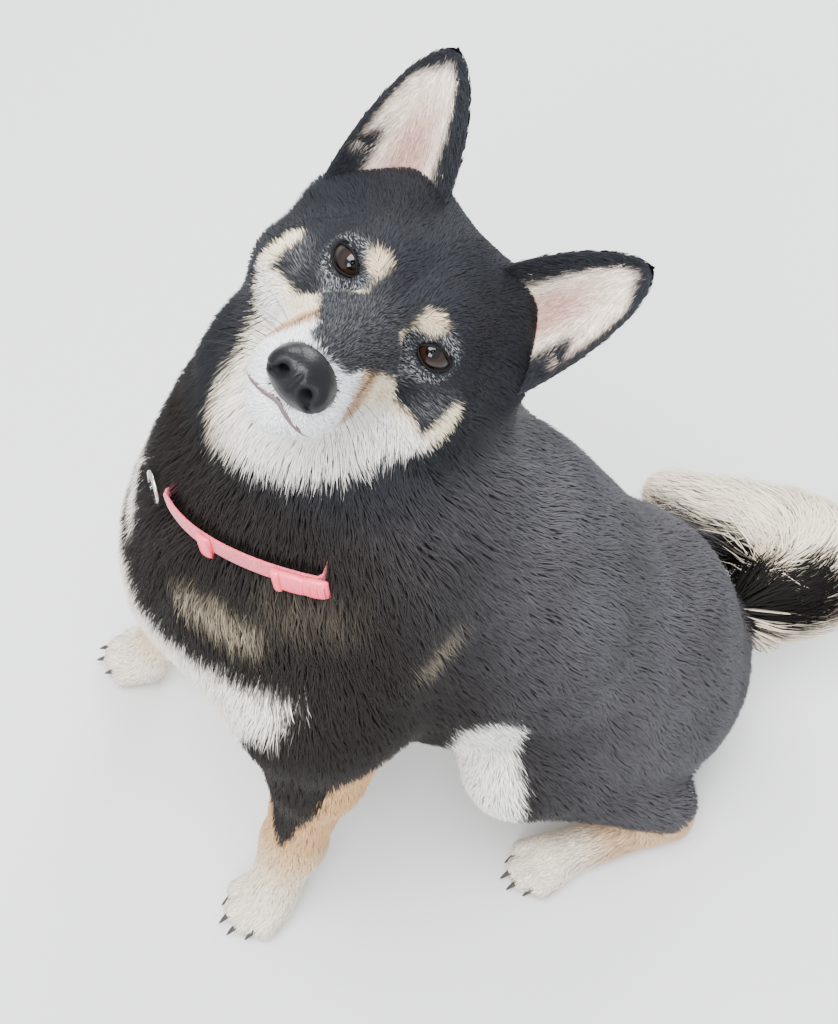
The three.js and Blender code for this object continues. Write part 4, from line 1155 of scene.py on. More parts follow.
def build_coat(settings, colours):
    """A blade at each root: its measures are mixed from the kinds of coat, it follows the lie with some
    jitter, and its colour is that of the markings where its tip is seen."""
    random = np.random.default_rng(11)
    roots, normals = scattered_roots(random, settings.density)
    q = to_head(roots)
    clear = eye_clearance(q)
    keep = (clear > 0.5) & (np.linalg.norm(q - NOSE, axis=1) > 12.5) & (roots[:, 2] > 1.2)
    roots, normals, q = roots[keep], normals[keep], q[keep]
    tail = tail_share(roots)
    depth = mixed(coat_measure(roots, q, 0), 1.0, tail)
    length = coat_measure(roots, q, 1)
    width = coat_measure(roots, q, 2)
    u, tail_radius, _, _ = tail_station(roots)
    length = mixed(length, np.minimum(TAIL_COAT["length"], 230 * (1.08 - u)), tail)
    depth = mixed(depth, tail_radius * (1 - TAIL_CORE), tail)
    width = mixed(width, TAIL_COAT["width"], tail)
    near_eye = ramp(clear[keep], 1, 16)
    depth = depth * (0.3 + 0.7 * near_eye)
    length = length * (0.4 + 0.6 * near_eye)
    lie = coat_lie(roots)
    sway = wobble(roots, 26, 5)[:, None] * np.cross(normals, lie) * 0.35
    jitter = random.normal(size=roots.shape) * (0.14 - 0.06 * head_share(roots, q))[:, None]
    lie = unit(lie + sway + jitter)
    height_over, angle = collar_place(roots)
    at_band = ramp(8.0 - np.abs(height_over), 0, 3)
    shown = collar_shown(angle) * (head_share(roots, q) < 0.5)
    above = ramp(height_over, 4, 9) * ramp(height_over, 34, 26)
    down_to_band = np.clip(height_over - 1.5 + random.normal(size=len(roots)) * 2, 4, length)
    length = np.where(shown * above > 0.3, down_to_band, length)
    depth = mixed(depth, 3.4, at_band * shown)
    length = mixed(length, 8, at_band * shown)
    tall = random.uniform(0.8, 1.04, len(roots)) * (1 + 0.07 * wobble(roots, 17, 8))
    tall = tall + 0.25 * ramp(np.abs(height_over), 26, 14) * (1 - shown)
    tail_tall = random.uniform(0.9, 1.15, len(roots)) * (1 + 0.15 * ramp(u, 0.45, 0.3))
    tall = mixed(tall, tail_tall, tail)
    length = length * random.uniform(0.75, 1.2, len(roots)) * settings.length
    width = width * random.uniform(0.75, 1.25, len(roots))
    seen = roots + lie * (0.8 * length)[:, None] + normals * depth[:, None]
    astray = 0.5 + mixed(0.11, 0.03, tail) * length
    seen = seen + random.normal(size=roots.shape) * astray[:, None]
    colour = coat_colours(seen, normals, colours)
    shade = random.normal(size=len(roots)) * 0.08 + 0.07 * wobble(roots, 9, 21)
    colour = colour * np.exp(shade)[:, None]
    greyed = grizzle(to_head(seen)) * head_share(roots, q) * random.random(len(roots)) ** 1.5
    colour = mixed(colour, colours["white"], greyed[:, None])
    region = region_of(roots)
    material = coat_material()
    for number, (name, (centre, axis)) in enumerate(REGIONS.items()):
        chosen = np.nonzero(region == number)[0]
        stations, most = ([0.28, 0.62, 1.0], 16000) if name in ("tail", "neck") else ([0.42, 1.0], 32500)
        order = chosen[np.argsort(roots[chosen] @ unit(np.array([0.3, 1.0, -0.4])))]
        unwrapped = unwrap(roots[order], centre, axis)
        slices = max(1, math.ceil(len(order) / most))
        for k, index in enumerate(np.array_split(np.arange(len(order)), slices)):
            if not len(index):
                continue
            i = order[index]
            shape, ups = grow_tufts(
                roots[i], normals[i], lie[i], length[i], width[i], depth[i] * tall[i], stations, skin_field
            )
            shape[..., 2] = np.maximum(shape[..., 2], LEAST_HEIGHT)
            per = shape.shape[1]
            # Painted shade along each blade: darker toward its root, deep in the coat, and a little lighter
            # at its tip.
            root_to_tip_shade = np.linspace(0.84, 1.08, per)[None, :, None]
            make_piece(
                f"coat_{name}_{k + 1}",
                shape.reshape(-1, 3),
                [tuft_faces(len(i), len(stations) - 1)],
                material,
                colours=(colour[i][:, None] * root_to_tip_shade).reshape(-1, 3),
                maps=tuft_maps(unwrapped[index], stations, random),
                normals=ups.reshape(-1, 3),
            )


def eye_clearance(q):
    """How far outside the lids' outline a place is, seen along the eye."""
    across, up, forward = eye_axes(1)
    m = both_sides(q) - EYE_CENTRE
    a, b, c = m @ across, m @ up, m @ forward
    radius = np.hypot(a / 1.6, b) - 6.1
    return np.where((c > -2) & (c < 26), radius, 30)


def eye_point(a, b, forward, side):
    """A place given across, up and ahead of an eye, in the dog's frame."""
    across, up, ahead = eye_axes(1)
    q = EYE_CENTRE + a[..., None] * across + b[..., None] * up + forward[..., None] * ahead
    return from_head(q * [side, 1, 1])


# Eyes and lids.
def almond_outline(angle, scale):
    """Across and up of the opening between the lids, an ellipse with its ends pinched."""
    a = scale * EYE_OPENING["width"] / 2 * np.cos(angle)
    b = scale * EYE_OPENING["height"] / 2 * np.sin(angle) * (1 - 0.35 * np.cos(angle) ** 2)
    return a, b


def build_lids():
    """Rings round the opening: from the eyeball over a soft rim, out over the ball and back beneath."""
    angle = np.linspace(0, 2 * np.pi, 72, endpoint=False)
    outside = [
        (1.0, 0.0, 0.15),
        (1.0, 0.0, 0.7),
        (1.03, 0.0, 1.1),
        (1.08, 0.0, 1.35),
        (1.15, 0.0, 1.4),
        (1.21, 0.05, 1.1),
        (1.23, 0.1, 0.7),
        (1.23, 0.1, 0.2),
    ]
    material, _, shader = new_material("Lid rims", Base_Color=(0.006, 0.005, 0.005, 1), Roughness=0.6)
    shader.inputs["Specular IOR Level"].default_value = 0.12
    for side, name in ((1, "left"), (-1, "right")):
        rings = []
        for scale, to_circle, over in outside:
            a, b = almond_outline(angle, scale)
            a = mixed(a, 11.0 * np.cos(angle), to_circle)
            b = mixed(b, 11.0 * np.sin(angle), to_circle)
            radius = EYE_RADIUS + over
            flat = np.minimum(a**2 + b**2, radius**2 - 4)
            rings.append(eye_point(a, b, np.sqrt(radius**2 - flat), side))
        rings = np.array(rings)
        vertices = rings.reshape(-1, 3)
        faces = outward(vertices, [ring_faces(len(rings), len(angle), closed=True)])
        make_piece(f"eyelids_{name}", vertices, faces, material)


def ball(centre, pole, radius, rows, columns, bulge):
    """A sphere with its pole turned to a direction, and its places across the pole for a map.
    Bulge gives what is added to the radius at each angle off the pole."""
    pole = unit(np.asarray(pole, float))
    first = unit(np.cross(pole, [0.1, 0.2, 1.0]))
    second = np.cross(pole, first)
    off = np.linspace(0, np.pi, rows + 2)[1:-1]
    turn = np.linspace(0, 2 * np.pi, columns, endpoint=False)
    off_grid, turn_grid = (grid[..., None] for grid in np.meshgrid(off, turn, indexing="ij"))
    level = np.cos(turn_grid) * first + np.sin(turn_grid) * second
    shape = (np.cos(off_grid) * pole + np.sin(off_grid) * level) * (radius + bulge(off_grid))
    tops = np.array([pole * (radius + bulge(0.0)), -pole * radius])
    vertices = np.vstack([shape.reshape(-1, 3), tops])
    i = np.arange(columns)
    beside = (i + 1) % columns
    last = (rows - 1) * columns
    caps = np.vstack(
        [
            np.column_stack([np.full(columns, rows * columns), i, beside]),
            np.column_stack([np.full(columns, rows * columns + 1), last + beside, last + i]),
        ]
    )
    faces = outward(vertices, [ring_faces(rows, columns), caps])
    flat = np.column_stack([vertices @ first, vertices @ second])
    return vertices + centre, faces, flat


def build_eyes(settings):
    """Each eyeball is a sphere with a low dome over the iris; rings of colour surround its pupil."""
    material, tree, shader = new_material("Eyes", Roughness=0.3)
    shader.inputs["Specular IOR Level"].default_value = 0.0
    shader.inputs["Coat Weight"].default_value = 1.0
    shader.inputs["Coat Roughness"].default_value = 0.02
    shader.inputs["Coat IOR"].default_value = 1.4
    place = add_node(tree, "ShaderNodeUVMap", {"uv_map": "Iris"})
    length = add_node(tree, "ShaderNodeVectorMath", {"operation": "LENGTH"})
    tree.links.new(place.outputs["UV"], length.inputs[0])
    noise = add_node(tree, "ShaderNodeTexNoise", Scale=9.0, Detail=3.0)
    tree.links.new(place.outputs["UV"], noise.inputs["Vector"])
    mixer = add_node(tree, "ShaderNodeMath", {"operation": "MULTIPLY_ADD"})
    mixer.inputs[1].default_value = 0.06
    tree.links.new(noise.outputs["Fac"], mixer.inputs[0])
    tree.links.new(length.outputs["Value"], mixer.inputs[2])
    ramp_node = tree.nodes.new("ShaderNodeValToRGB")
    pupil = settings.pupil / EYE_RADIUS
    iris = np.array(linear(tuple(settings.iris)))
    stops = [
        (0.0, (0.002, 0.002, 0.002)),
        (pupil + 0.03, (0.002, 0.002, 0.002)),
        (pupil + 0.07, iris * 0.55),
        (0.42, iris),
        (0.62, iris * 0.6),
        (0.70, iris * 0.12),
        (0.76, (0.012, 0.009, 0.008)),
        (0.88, (0.03, 0.022, 0.02)),
    ]
    elements = ramp_node.color_ramp.elements
    while len(elements) < len(stops):
        elements.new(0.5)
    for element, (position, colour) in zip(elements, stops):
        element.position = position
        element.color = (*colour, 1)
    tree.links.new(mixer.outputs["Value"], ramp_node.inputs["Fac"])
    tree.links.new(ramp_node.outputs["Color"], shader.inputs["Base Color"])
    watched = np.array([42.0, -740.0, 133.0])
    for side, name in ((1, "left"), (-1, "right")):
        centre = EYE_CENTRE * [side, 1, 1]
        look = unit(watched - centre)
        vertices, faces, flat = ball(
            centre, look, EYE_RADIUS, 46, 64, lambda off: 0.7 * np.clip(1 - (off / 0.8) ** 2, 0, 1) ** 1.5
        )
        make_piece(
            f"eyeball_{name}",
            from_head(vertices),
            faces,
            material,
            replaces=[f"eye_{name}"],
            maps={"Iris": flat / EYE_RADIUS},
        )


# Nose, lips and whiskers.
def nose_field(q):
    """A block wider above, with a lobe round each nostril, the slit beside it and the groove between."""
    m = both_sides(q)
    taper = np.maximum(1 - 0.014 * (q[:, 2] - NOSE[2]), 0.7) ** -0.4
    wide = q * np.column_stack([taper, np.ones(len(q)), np.ones(len(q))])
    block = ellipsoid(wide, NOSE, (NOSE_HALF_WIDTH, 13.0, 13.5))
    lobe = ellipsoid(m, NOSE + (9.2, -6.5, -1.5), (7.2, 6.5, 7.6))
    tip = ellipsoid(q, NOSE + (0, -5, 3), (8, 8.5, 6.5))
    nostril = limb(m, NOSE + (6.2, -17, -3.0), NOSE + (8.2, -6.5, -0.5), 3.5, 2.0)
    slit = limb(m, NOSE + (8.4, -13, -3.8), NOSE + (17.5, -4, -7.5), 1.6, 0.8)
    groove = limb(q, NOSE + (0, -14.2, 3), NOSE + (0, -11.5, -14), 0.9, 0.9)
    solid = flow(3, block, lobe, tip)
    return -flow(1.6, -solid, nostril, slit, groove)


def build_nose():
    """The nose field's surface; its vertices carry how rough the leather is, matt inside the nostrils."""
    lines = [np.arange(-23, 23, 0.75), np.arange(-91, -49, 0.75), np.arange(-55, -15, 0.75)]
    vertices, quads = surface_net(nose_field, lines)
    vertices = drawn_to_surface(nose_field, vertices)
    material, tree, shader = new_material("Nose leather", Base_Color=(0.005, 0.005, 0.006, 1))
    shader.inputs["Specular IOR Level"].default_value = 0.24
    markings = add_node(tree, "ShaderNodeVertexColor", {"layer_name": "Markings"})
    matt = add_node(tree, "ShaderNodeSeparateColor")
    tree.links.new(markings.outputs["Color"], matt.inputs["Color"])
    tree.links.new(matt.outputs["Red"], shader.inputs["Roughness"])
    place = tree.nodes.new("ShaderNodeTexCoord")
    pebbles = add_node(tree, "ShaderNodeTexVoronoi", Scale=900.0)
    tree.links.new(place.outputs["Object"], pebbles.inputs["Vector"])
    raised = add_node(tree, "ShaderNodeBump", Strength=0.3, Distance=0.0003)
    tree.links.new(pebbles.outputs["Distance"], raised.inputs["Height"])
    tree.links.new(raised.outputs["Normal"], shader.inputs["Normal"])
    m = both_sides(vertices)
    hole = [np.linalg.norm(m - NOSE - place, axis=1) for place in ((7.4, -9, -1.5), (8.0, -5, 0))]
    rough = 1 - 0.66 * ramp(np.minimum(*hole), 4.6, 6.6)
    make_piece(
        "nose_leather",
        from_head(vertices),
        [quads],
        material,
        replaces=["nose"],
        colours=np.repeat(rough[:, None], 3, axis=1),
    )


def build_lips():
    """A flat dark bar along the parting of the lips, on the skin."""
    half = np.array([(32, -10, -48), (29, -26, -54), (25, -42, -56), (18, -58, -55), (8, -69, -54)], float)
    line = np.vstack([half, [[0, -73, -53]], half[::-1] * [-1, 1, 1]])
    points = drawn_to_surface(skin_field, from_head(curve_through(line, 90)), rounds=4, limit=6.0)
    radii = 0.2 + 1.3 * np.sin(np.linspace(0, np.pi, 90)) ** 3
    vertices, faces = bar(points, radii, 10)
    material, _, _ = new_material("Lips", Base_Color=(0.12, 0.075, 0.08, 1), Roughness=0.5)
    make_piece("lips", vertices, faces, material)


def build_whiskers(settings):
    """Thin tapered bars that leave the muzzle outward and droop a little."""
    random = np.random.default_rng(5)
    parts = []
    for side in (1, -1):
        for row in range(4):
            for i in range(3):
                root = np.array([side * 24.0, -58 + 11 * i + 3 * row, -31 - 6.5 * row])
                root = drawn_to_surface(skin_field, from_head(root[None]), rounds=5, limit=8.0)[0]
                run = unit(np.array([side * (0.9 + 0.1 * i), 0.25 + 0.28 * i, -0.18 - 0.16 * row]))
                run = unit(run + random.normal(size=3) * 0.08) @ HEAD_AXES
                length = settings.whiskers / MM * (0.55 + 0.13 * i) * random.uniform(0.85, 1.1)
                s = np.linspace(0, 1, 9)[:, None]
                droop = (np.array([0, 0.25, -0.35]) @ HEAD_AXES) * length * 0.5
                parts.append(bar(root - run + run * length * s + droop * s**2, 0.16 * (1.08 - s[:, 0]), 4))
        for i in range(3):
            root = from_head(np.array([[side * (16 + 4 * i), -6.0, 10 + 2 * i]]))
            root = drawn_to_surface(skin_field, root, rounds=5, limit=8.0)[0]
            run = unit(np.array([side * 0.3 * i, -0.7, 0.75])) @ HEAD_AXES
            s = np.linspace(0, 1, 7)[:, None]
            back = (np.array([0, 1.0, 0]) @ HEAD_AXES) * 6
            parts.append(bar(root - run + run * 20 * s + back * s**2, 0.2 * (1.05 - s[:, 0]), 4))
    vertices, faces = joined(parts)
    material, _, _ = new_material("Whiskers", Base_Color=(0.02, 0.018, 0.016, 1), Roughness=0.4)
    make_piece("whiskers", vertices, faces, material)


# Ears.
def ear_sheet(u, t, outer):
    """A place on the left ear in the head's frame: u across from -1 to 1, t from its root to 1 at the tip.
    The ear is a blade whose half width falls from root to tip, bent back into a cup."""
    base = (EAR["inner"] + EAR["outer"]) / 2
    span = EAR["outer"] - EAR["inner"]
    axis = EAR["tip"] - base
    across_tip = unit(span - axis * (span @ axis) / (axis @ axis))
    rise = np.clip(t, 0, 1)
    half = np.linalg.norm(span) / 2 * np.sqrt(np.maximum(1 - rise**2.3, 0.0)) * (1 - 0.3 * rise)
    across = unit(mixed(unit(span), across_tip, rise[..., None]))
    back = unit(np.cross(axis, across))
    depth = half * (0.62 - 0.3 * rise)
    thick = (2.6 - 1.3 * rise) * np.sqrt(np.maximum(1 - u**6, 0)) / 2
    bowl = depth * (1 - u * u) - 0.4 * depth + np.where(outer, thick, -thick)
    flare = 1.5 * np.exp(-((np.abs(u) - 1) ** 2) / 0.02) * (1 - rise)
    depth = (bowl - flare * 0.4)[..., None] * back
    place = base + t[..., None] * axis + (u * half)[..., None] * across + depth
    return place, back


def build_ears(colours):
    """Each ear's shell is a tube of rings that go round the sheet: over its outside, back over its inside."""
    columns = 44
    turn = np.linspace(0, 2 * np.pi, columns, endpoint=False)
    u = np.cos(turn)
    outer = np.sin(turn) >= 0
    t = 1 - (1 - np.linspace(0, 1, 56)) ** 1.25 * 1.25
    t = np.minimum(t, 0.998)
    u_grid, t_grid = np.broadcast_to(u, (len(t), columns)), np.broadcast_to(t[:, None], (len(t), columns))
    place, _ = ear_sheet(u_grid, t_grid, np.broadcast_to(outer, u_grid.shape))
    vertices, faces = tube(place)
    faces = outward(vertices, faces)
    u_all = np.append(u_grid.ravel(), [0, 0])
    t_all = np.append(t_grid.ravel(), [t[0], 1])
    outer_all = np.append(np.broadcast_to(outer, u_grid.shape).ravel(), [True, True])
    colour = ear_colours(u_all, t_all, outer_all, colours, skin=True)
    for side, name in ((1, "left"), (-1, "right")):
        turned = [f if side > 0 else f[:, ::-1] for f in faces]
        make_piece(
            f"ear_shell_{name}",
            from_head(vertices * [side, 1, 1]),
            turned,
            skin_material(),
            replaces=[f"ear_{name}"],
            colours=colour,
        )
        build_ear_hair(side, name, colours)


def ear_colours(u, t, outer, c, skin=False):
    """Black outside and round the rim and tip; cream hair inside over pink skin low in the cup."""
    rim = np.maximum(ramp(-u, 0.55, 0.72), ramp(u, 0.8, 0.93))
    rim = np.maximum(rim, ramp(t + 0.08 * np.abs(u), 0.74, 0.84))
    rim = np.maximum(rim, ramp(t, 0.33, 0.22) * ramp(np.abs(u), 0.5, 0.72))
    dark = np.where(outer, 1.0, rim)
    pink = np.array(linear((0.6, 0.36, 0.34)))
    bare = ramp(t, 0.66, 0.2) * ramp(0.6 - np.abs(u), 0, 0.42)
    hair = mixed(mixed(c["cream"], c["white"], 0.4) * [0.86, 0.79, 0.77], pink, (0.68 * bare)[:, None])
    inside = mixed(hair, pink * [0.8, 0.7, 0.7], (0.45 + 0.5 * bare)[:, None]) if skin else hair
    return mixed(inside, c["black"], dark[:, None])


def build_ear_hair(side, name, colours):
    """Short hair to the tip on the outside; inside, short at the rim and long from both edges inward; and a
    fringe that hangs from the foot of the cup over the head."""
    random = np.random.default_rng(31)
    count = {"outside": 7500, "inside": 8300, "fringe": 900}
    parts = []
    for face, number in count.items():
        u = random.uniform(-0.98, 0.98, number)
        t = random.uniform(-0.12, 0.995, number)
        if face == "fringe":
            u, t = u * 0.85 + 0.1, 0.17 + 0.1 * t
        keep = random.random(number) < np.sqrt(np.maximum(1 - np.clip(t, 0, 1) ** 1.7, 0.2))
        u, t = u[keep], t[keep]
        outer = np.full(len(u), face == "outside")
        place, back = ear_sheet(u, t, outer)
        beside, _ = ear_sheet(u + 0.01, t, outer)
        further, _ = ear_sheet(u, t + 0.005, outer)
        across, along = unit(beside - place), unit(further - place)
        normal = unit(np.cross(across, along))
        wanted = back if face == "outside" else -back
        normal = normal * np.sign(np.einsum("ij,ij->i", normal, wanted))[:, None]
        rim = np.maximum(ramp(np.abs(u), 0.7, 0.95), ramp(t, 0.8, 0.95))
        if face == "outside":
            lie = unit(along + 0.12 * random.normal(size=along.shape))
            length = 6.5 - 3.5 * ramp(t, 0.75, 1.0)
            height, width = np.full(len(u), 1.0), np.full(len(u), 0.68)
        elif face == "fringe":
            lie = unit(0.45 * normal - along + 0.3 * random.normal(size=along.shape))
            length, height, width = np.full(len(u), 9.0), np.full(len(u), 2.0), np.full(len(u), 0.55)
        else:
            inwards = -np.sign(u)[:, None] * across * ramp(np.abs(u), 0.1, 0.9)[:, None]
            lie = unit(along + 0.45 * inwards + 0.13 * random.normal(size=along.shape))
            length = mixed(12.0, 4.5, rim) * ramp(1.25 - t, 0, 0.6)
            height = mixed(2.8, 0.9, rim) * (0.6 + 0.5 * random.random(len(u)))
            width = np.full(len(u), 0.66)
        colour = ear_colours(u, t, outer, colours) * np.exp(random.normal(size=len(u)) * 0.2)[:, None]
        turn = [side, 1, 1]
        shape, ups = grow_tufts(
            from_head(place * turn),
            (normal * turn) @ HEAD_AXES,
            (lie * turn) @ HEAD_AXES,
            length * random.uniform(0.75, 1.2, len(u)),
            width,
            height,
            [0.45, 1.0],
        )
        half = 0 if face == "outside" else 0.5
        unwrapped = np.column_stack([0.25 + 0.22 * u + half, 0.12 + 0.86 * np.clip(t, 0, 1)])
        parts.append((shape, ups, colour, unwrapped))
    shape, ups, colour, unwrapped = (np.concatenate(part) for part in zip(*parts))
    per = shape.shape[1]
    # Painted shade along each blade: darker toward its root, deep in the coat, and a little lighter at its
    # tip.
    root_to_tip_shade = np.linspace(0.8, 1.12, per)[None, :, None]
    faces = tuft_faces(len(shape), 1)
    make_piece(
        f"coat_ear_{name}",
        shape.reshape(-1, 3),
        outward(shape.reshape(-1, 3), [faces]),
        coat_material(),
        colours=(colour[:, None] * root_to_tip_shade).reshape(-1, 3),
        maps=tuft_maps(unwrapped, [0.45, 1.0], random),
        normals=ups.reshape(-1, 3),
    )


# Claws.
def build_claws():
    """Each claw is a bar that curves down and forward from its toe, thinning to a blunt point."""
    material, _, _ = new_material("Claw horn", Base_Color=(0.035, 0.028, 0.022, 1), Roughness=0.35)
    feet = [
        ("front_left", FORELEGS["left"], 9.4, 9.8),
        ("front_right", FORELEGS["right"], 9.4, 9.8),
        ("hind_left", HIND_LEGS["left"], 8.6, 9.4),
        ("hind_right", HIND_LEGS["right"], 8.6, 9.4),
    ]
    for name, leg, spread, radius in feet:
        forward, side = foot_axes(leg)
        parts = []
        toes = np.array(leg["toes"], float)
        for across, ahead in toe_offsets(spread):
            start = toes + [0, 0, 1] + side * across + forward * (ahead + radius - 5.5)
            s = np.linspace(0, 1, 9)[:, None]
            points = start + forward * s * (CLAW_LENGTH + 1.5) + np.array([0, 0, -5.5]) * s**2
            parts.append(bar(points, 2.5 * (1.06 - s[:, 0]) ** 0.6, 12, 0.85))
        vertices, faces = joined(parts)
        nodes = [f"claw_{name}_{i}" for i in range(1, 5)]
        make_piece(f"claws_{name}", vertices, faces, material, replaces=nodes)


# Collar.
def collar_places(reach, angle):
    """Places on the collar's middle plane, at a reach from its middle and an angle round it."""
    x = COLLAR_MIDDLE[0] + reach * np.cos(angle)
    y = COLLAR_MIDDLE[1] + reach * np.sin(angle)
    z = COLLAR_PLANE["height"] + COLLAR_PLANE["x"] * (x + 4) + COLLAR_PLANE["y"] * (y + 176)
    return np.column_stack([x, y, z])


def collar_reaches():
    """At 256 angles round the neck, how far the coat's surface is from the collar's middle."""
    angle = np.linspace(-np.pi, np.pi, 256, endpoint=False)
    reach = np.full(len(angle), 40.0)
    for _ in range(40):
        p = collar_places(reach, angle)
        reach = reach - flesh_field(p, to_head(p)) * 0.8
    return angle, reach


def collar_point(angle, outwards, height=0.0):
    """Places round the neck: out from the collar's middle to the coat's surface, plus a distance."""
    if "angle" not in COLLAR_REACH:
        COLLAR_REACH["angle"], COLLAR_REACH["reach"] = collar_reaches()
    reach = np.interp(angle, COLLAR_REACH["angle"], COLLAR_REACH["reach"], period=2 * np.pi)
    up = unit(np.array([-COLLAR_PLANE["x"], -COLLAR_PLANE["y"], 1.0]))
    return collar_places(reach + outwards, angle) + up * np.asarray(height, float).reshape(-1, 1)


COLLAR_REACH = {}


def strap(angles, outline, closed=False):
    """A solid along the collar: outline(k) gives rows of (outward, height) for the kth angle."""
    rings = []
    shapes = np.array([outline(k) for k in range(len(angles))])
    for j in range(shapes.shape[1]):
        rings.append(collar_point(angles, shapes[:, j, 0], shapes[:, j, 1]))
    rings = np.stack(rings, 1)
    if closed:
        vertices = rings.reshape(-1, 3)
        faces = [ring_faces(len(angles), shapes.shape[1], closed=True)]
    else:
        vertices, faces = tube(rings)
    return vertices, outward(vertices, faces)


def rounded_outline(near, far, half, sharp=5.0, count=20):
    """A rounded rectangle as a superellipse, from near to far outward and half high each way."""
    turn = np.linspace(0, 2 * np.pi, count, endpoint=False)
    c, s = np.cos(turn), np.sin(turn)
    power = 2 / sharp
    out = (near + far) / 2 + (far - near) / 2 * np.sign(c) * np.abs(c) ** power
    return np.column_stack([out, half * np.sign(s) * np.abs(s) ** power])


def build_collar(settings):
    """The band: a rounded outline carried round the neck, sunk in the coat where the coat hides it."""
    half = settings.width / MM / 2
    angles = np.linspace(-np.pi, np.pi, 256, endpoint=False)
    near = BAND_INSIDE - BAND_SUNK * (1 - ramp(angles, -1.42, -1.33) * ramp(angles, -0.19, -0.26))
    far = near + BAND_THICKNESS
    vertices, faces = strap(angles, lambda k: rounded_outline(near[k], far[k], half), closed=True)
    material, tree, shader = new_material("Woven webbing", Roughness=0.65)
    shader.inputs["Sheen Weight"].default_value = 0.3
    colour = linear(tuple(settings.colour))
    place = tree.nodes.new("ShaderNodeTexCoord")
    weave = add_node(tree, "ShaderNodeTexVoronoi", Scale=700.0)
    tree.links.new(place.outputs["Object"], weave.inputs["Vector"])
    tone = tree.nodes.new("ShaderNodeValToRGB")
    tone.color_ramp.elements[0].color = (*(colour * 1.1), 1)
    tone.color_ramp.elements[1].color = (*(colour * 0.6), 1)
    tree.links.new(weave.outputs["Distance"], tone.inputs["Fac"])
    tree.links.new(tone.outputs["Color"], shader.inputs["Base Color"])
    raised = add_node(tree, "ShaderNodeBump", Strength=0.5, Distance=0.0004)
    raised.invert = True
    tree.links.new(weave.outputs["Distance"], raised.inputs["Height"])
    tree.links.new(raised.outputs["Normal"], shader.inputs["Normal"])
    make_piece("collar_webbing", vertices, faces, material, replaces=["collar_band"])
    build_collar_fittings(colour, BAND_INSIDE + BAND_THICKNESS)


def build_collar_fittings(colour, near):
    """Buckle, slider and ring. Buckle and slider are outlines carried along the band, the ring a torus."""
    plastic, _, _ = new_material("Pink plastic", Base_Color=(*(colour * 1.12), 1), Roughness=0.32)
    start, end = BUCKLE_SPAN
    angles = np.linspace(start, end, 30)
    share = np.linspace(-1, 1, 30)
    outer = near + 4.2 * (1 - 0.5 * np.abs(share) ** 6)
    high = 7.6 - 0.9 * np.exp(-((share - 0.15) ** 2) / 0.02) - 1.4 * np.abs(share) ** 8
    parts = [strap(angles, lambda k: rounded_outline(near, outer[k], high[k]))]
    loop = [rounded_outline(near, near + 5.6 - 1.2 * abs(s) ** 3, 8.1) for s in np.linspace(-1, 1, 7)]
    parts.append(strap(np.linspace(start, start + 0.045, 7), lambda k: loop[k]))
    for i in range(4):
        middle = start + (end - start) * (0.52 + 0.12 * i)
        rib = [rounded_outline(near, near + 4.9 - 0.8 * s * s, 5.4) for s in np.linspace(-1, 1, 5)]
        parts.append(strap(middle + np.linspace(0, 0.014, 5), lambda k: rib[k]))
    vertices, faces = joined(parts)
    make_piece("buckle", vertices, faces, plastic, replaces=["collar_buckle"])
    start, end = SLIDER_SPAN
    rows = [rounded_outline(near, near + 3.8 - 1.2 * abs(s) ** 3, 8.4) for s in np.linspace(-1, 1, 9)]
    vertices, faces = strap(np.linspace(start, end, 9), lambda k: rows[k])
    make_piece("slider", vertices, faces, plastic, replaces=["collar_slider"])
    metal, _, _ = new_material("Bright metal", Base_Color=(0.62, 0.6, 0.55, 1), Metallic=1.0, Roughness=0.25)
    centre = collar_point(np.array([RING_ANGLE]), 2.0)[0] - [0, 0, 0.6 * RING_RADIUS]
    facing = np.array([math.cos(RING_ANGLE), math.sin(RING_ANGLE), 0])
    sideways = np.cross([0, 0, 1.0], facing)
    turn = np.linspace(0, 2 * np.pi, 48, endpoint=False)[:, None]
    path_out = np.cos(turn) * sideways + np.sin(turn) * np.array([0, 0, 1.0])
    small = np.linspace(0, 2 * np.pi, 12, endpoint=False)
    rings = centre + path_out[:, None] * (RING_RADIUS + 1.3 * np.cos(small))[None, :, None]
    rings = rings + 1.3 * np.sin(small)[None, :, None] * facing
    vertices = rings.reshape(-1, 3)
    faces = outward(vertices, [ring_faces(48, 12, closed=True)])
    make_piece("leash_ring", vertices, faces, metal, replaces=["collar_ring"])


# Settings a user would change.
class CoatSettings(bpy.types.PropertyGroup):
    """Length, density and colours of the coat."""

    length: bpy.props.FloatProperty(
        name="Hair length", description="Factor on every hair's length", default=1.0
    )
    density: bpy.props.FloatProperty(name="Density", description="Factor on the number of tufts", default=1.0)
    black: bpy.props.FloatVectorProperty(
        name="Head black", description="Colour of the black hair on the head", subtype="COLOR_GAMMA",
        default=COLOURS["black"],
    )
    body_black: bpy.props.FloatVectorProperty(
        name="Body black", description="Colour of the black hair on the body", subtype="COLOR_GAMMA",
        default=COLOURS["body_black"],
    )
    cream: bpy.props.FloatVectorProperty(
        name="Cream", description="Colour of the pale hair", subtype="COLOR_GAMMA", default=COLOURS["cream"]
    )
    white: bpy.props.FloatVectorProperty(
        name="White", description="Colour round the nose and of the toes", subtype="COLOR_GAMMA",
        default=COLOURS["white"],
    )
    tan: bpy.props.FloatVectorProperty(
        name="Tan", description="Colour of the tan marks", subtype="COLOR_GAMMA", default=COLOURS["tan"]
    )
    # This colour is painted sheen on the back, flanks and thighs, not a colour of the hair.
    painted_sheen: bpy.props.FloatVectorProperty(
        name="Painted_sheen", description="Colour of the greyer hair on back, flanks and thighs",
        subtype="COLOR_GAMMA", default=COLOURS["painted_sheen"],
    )


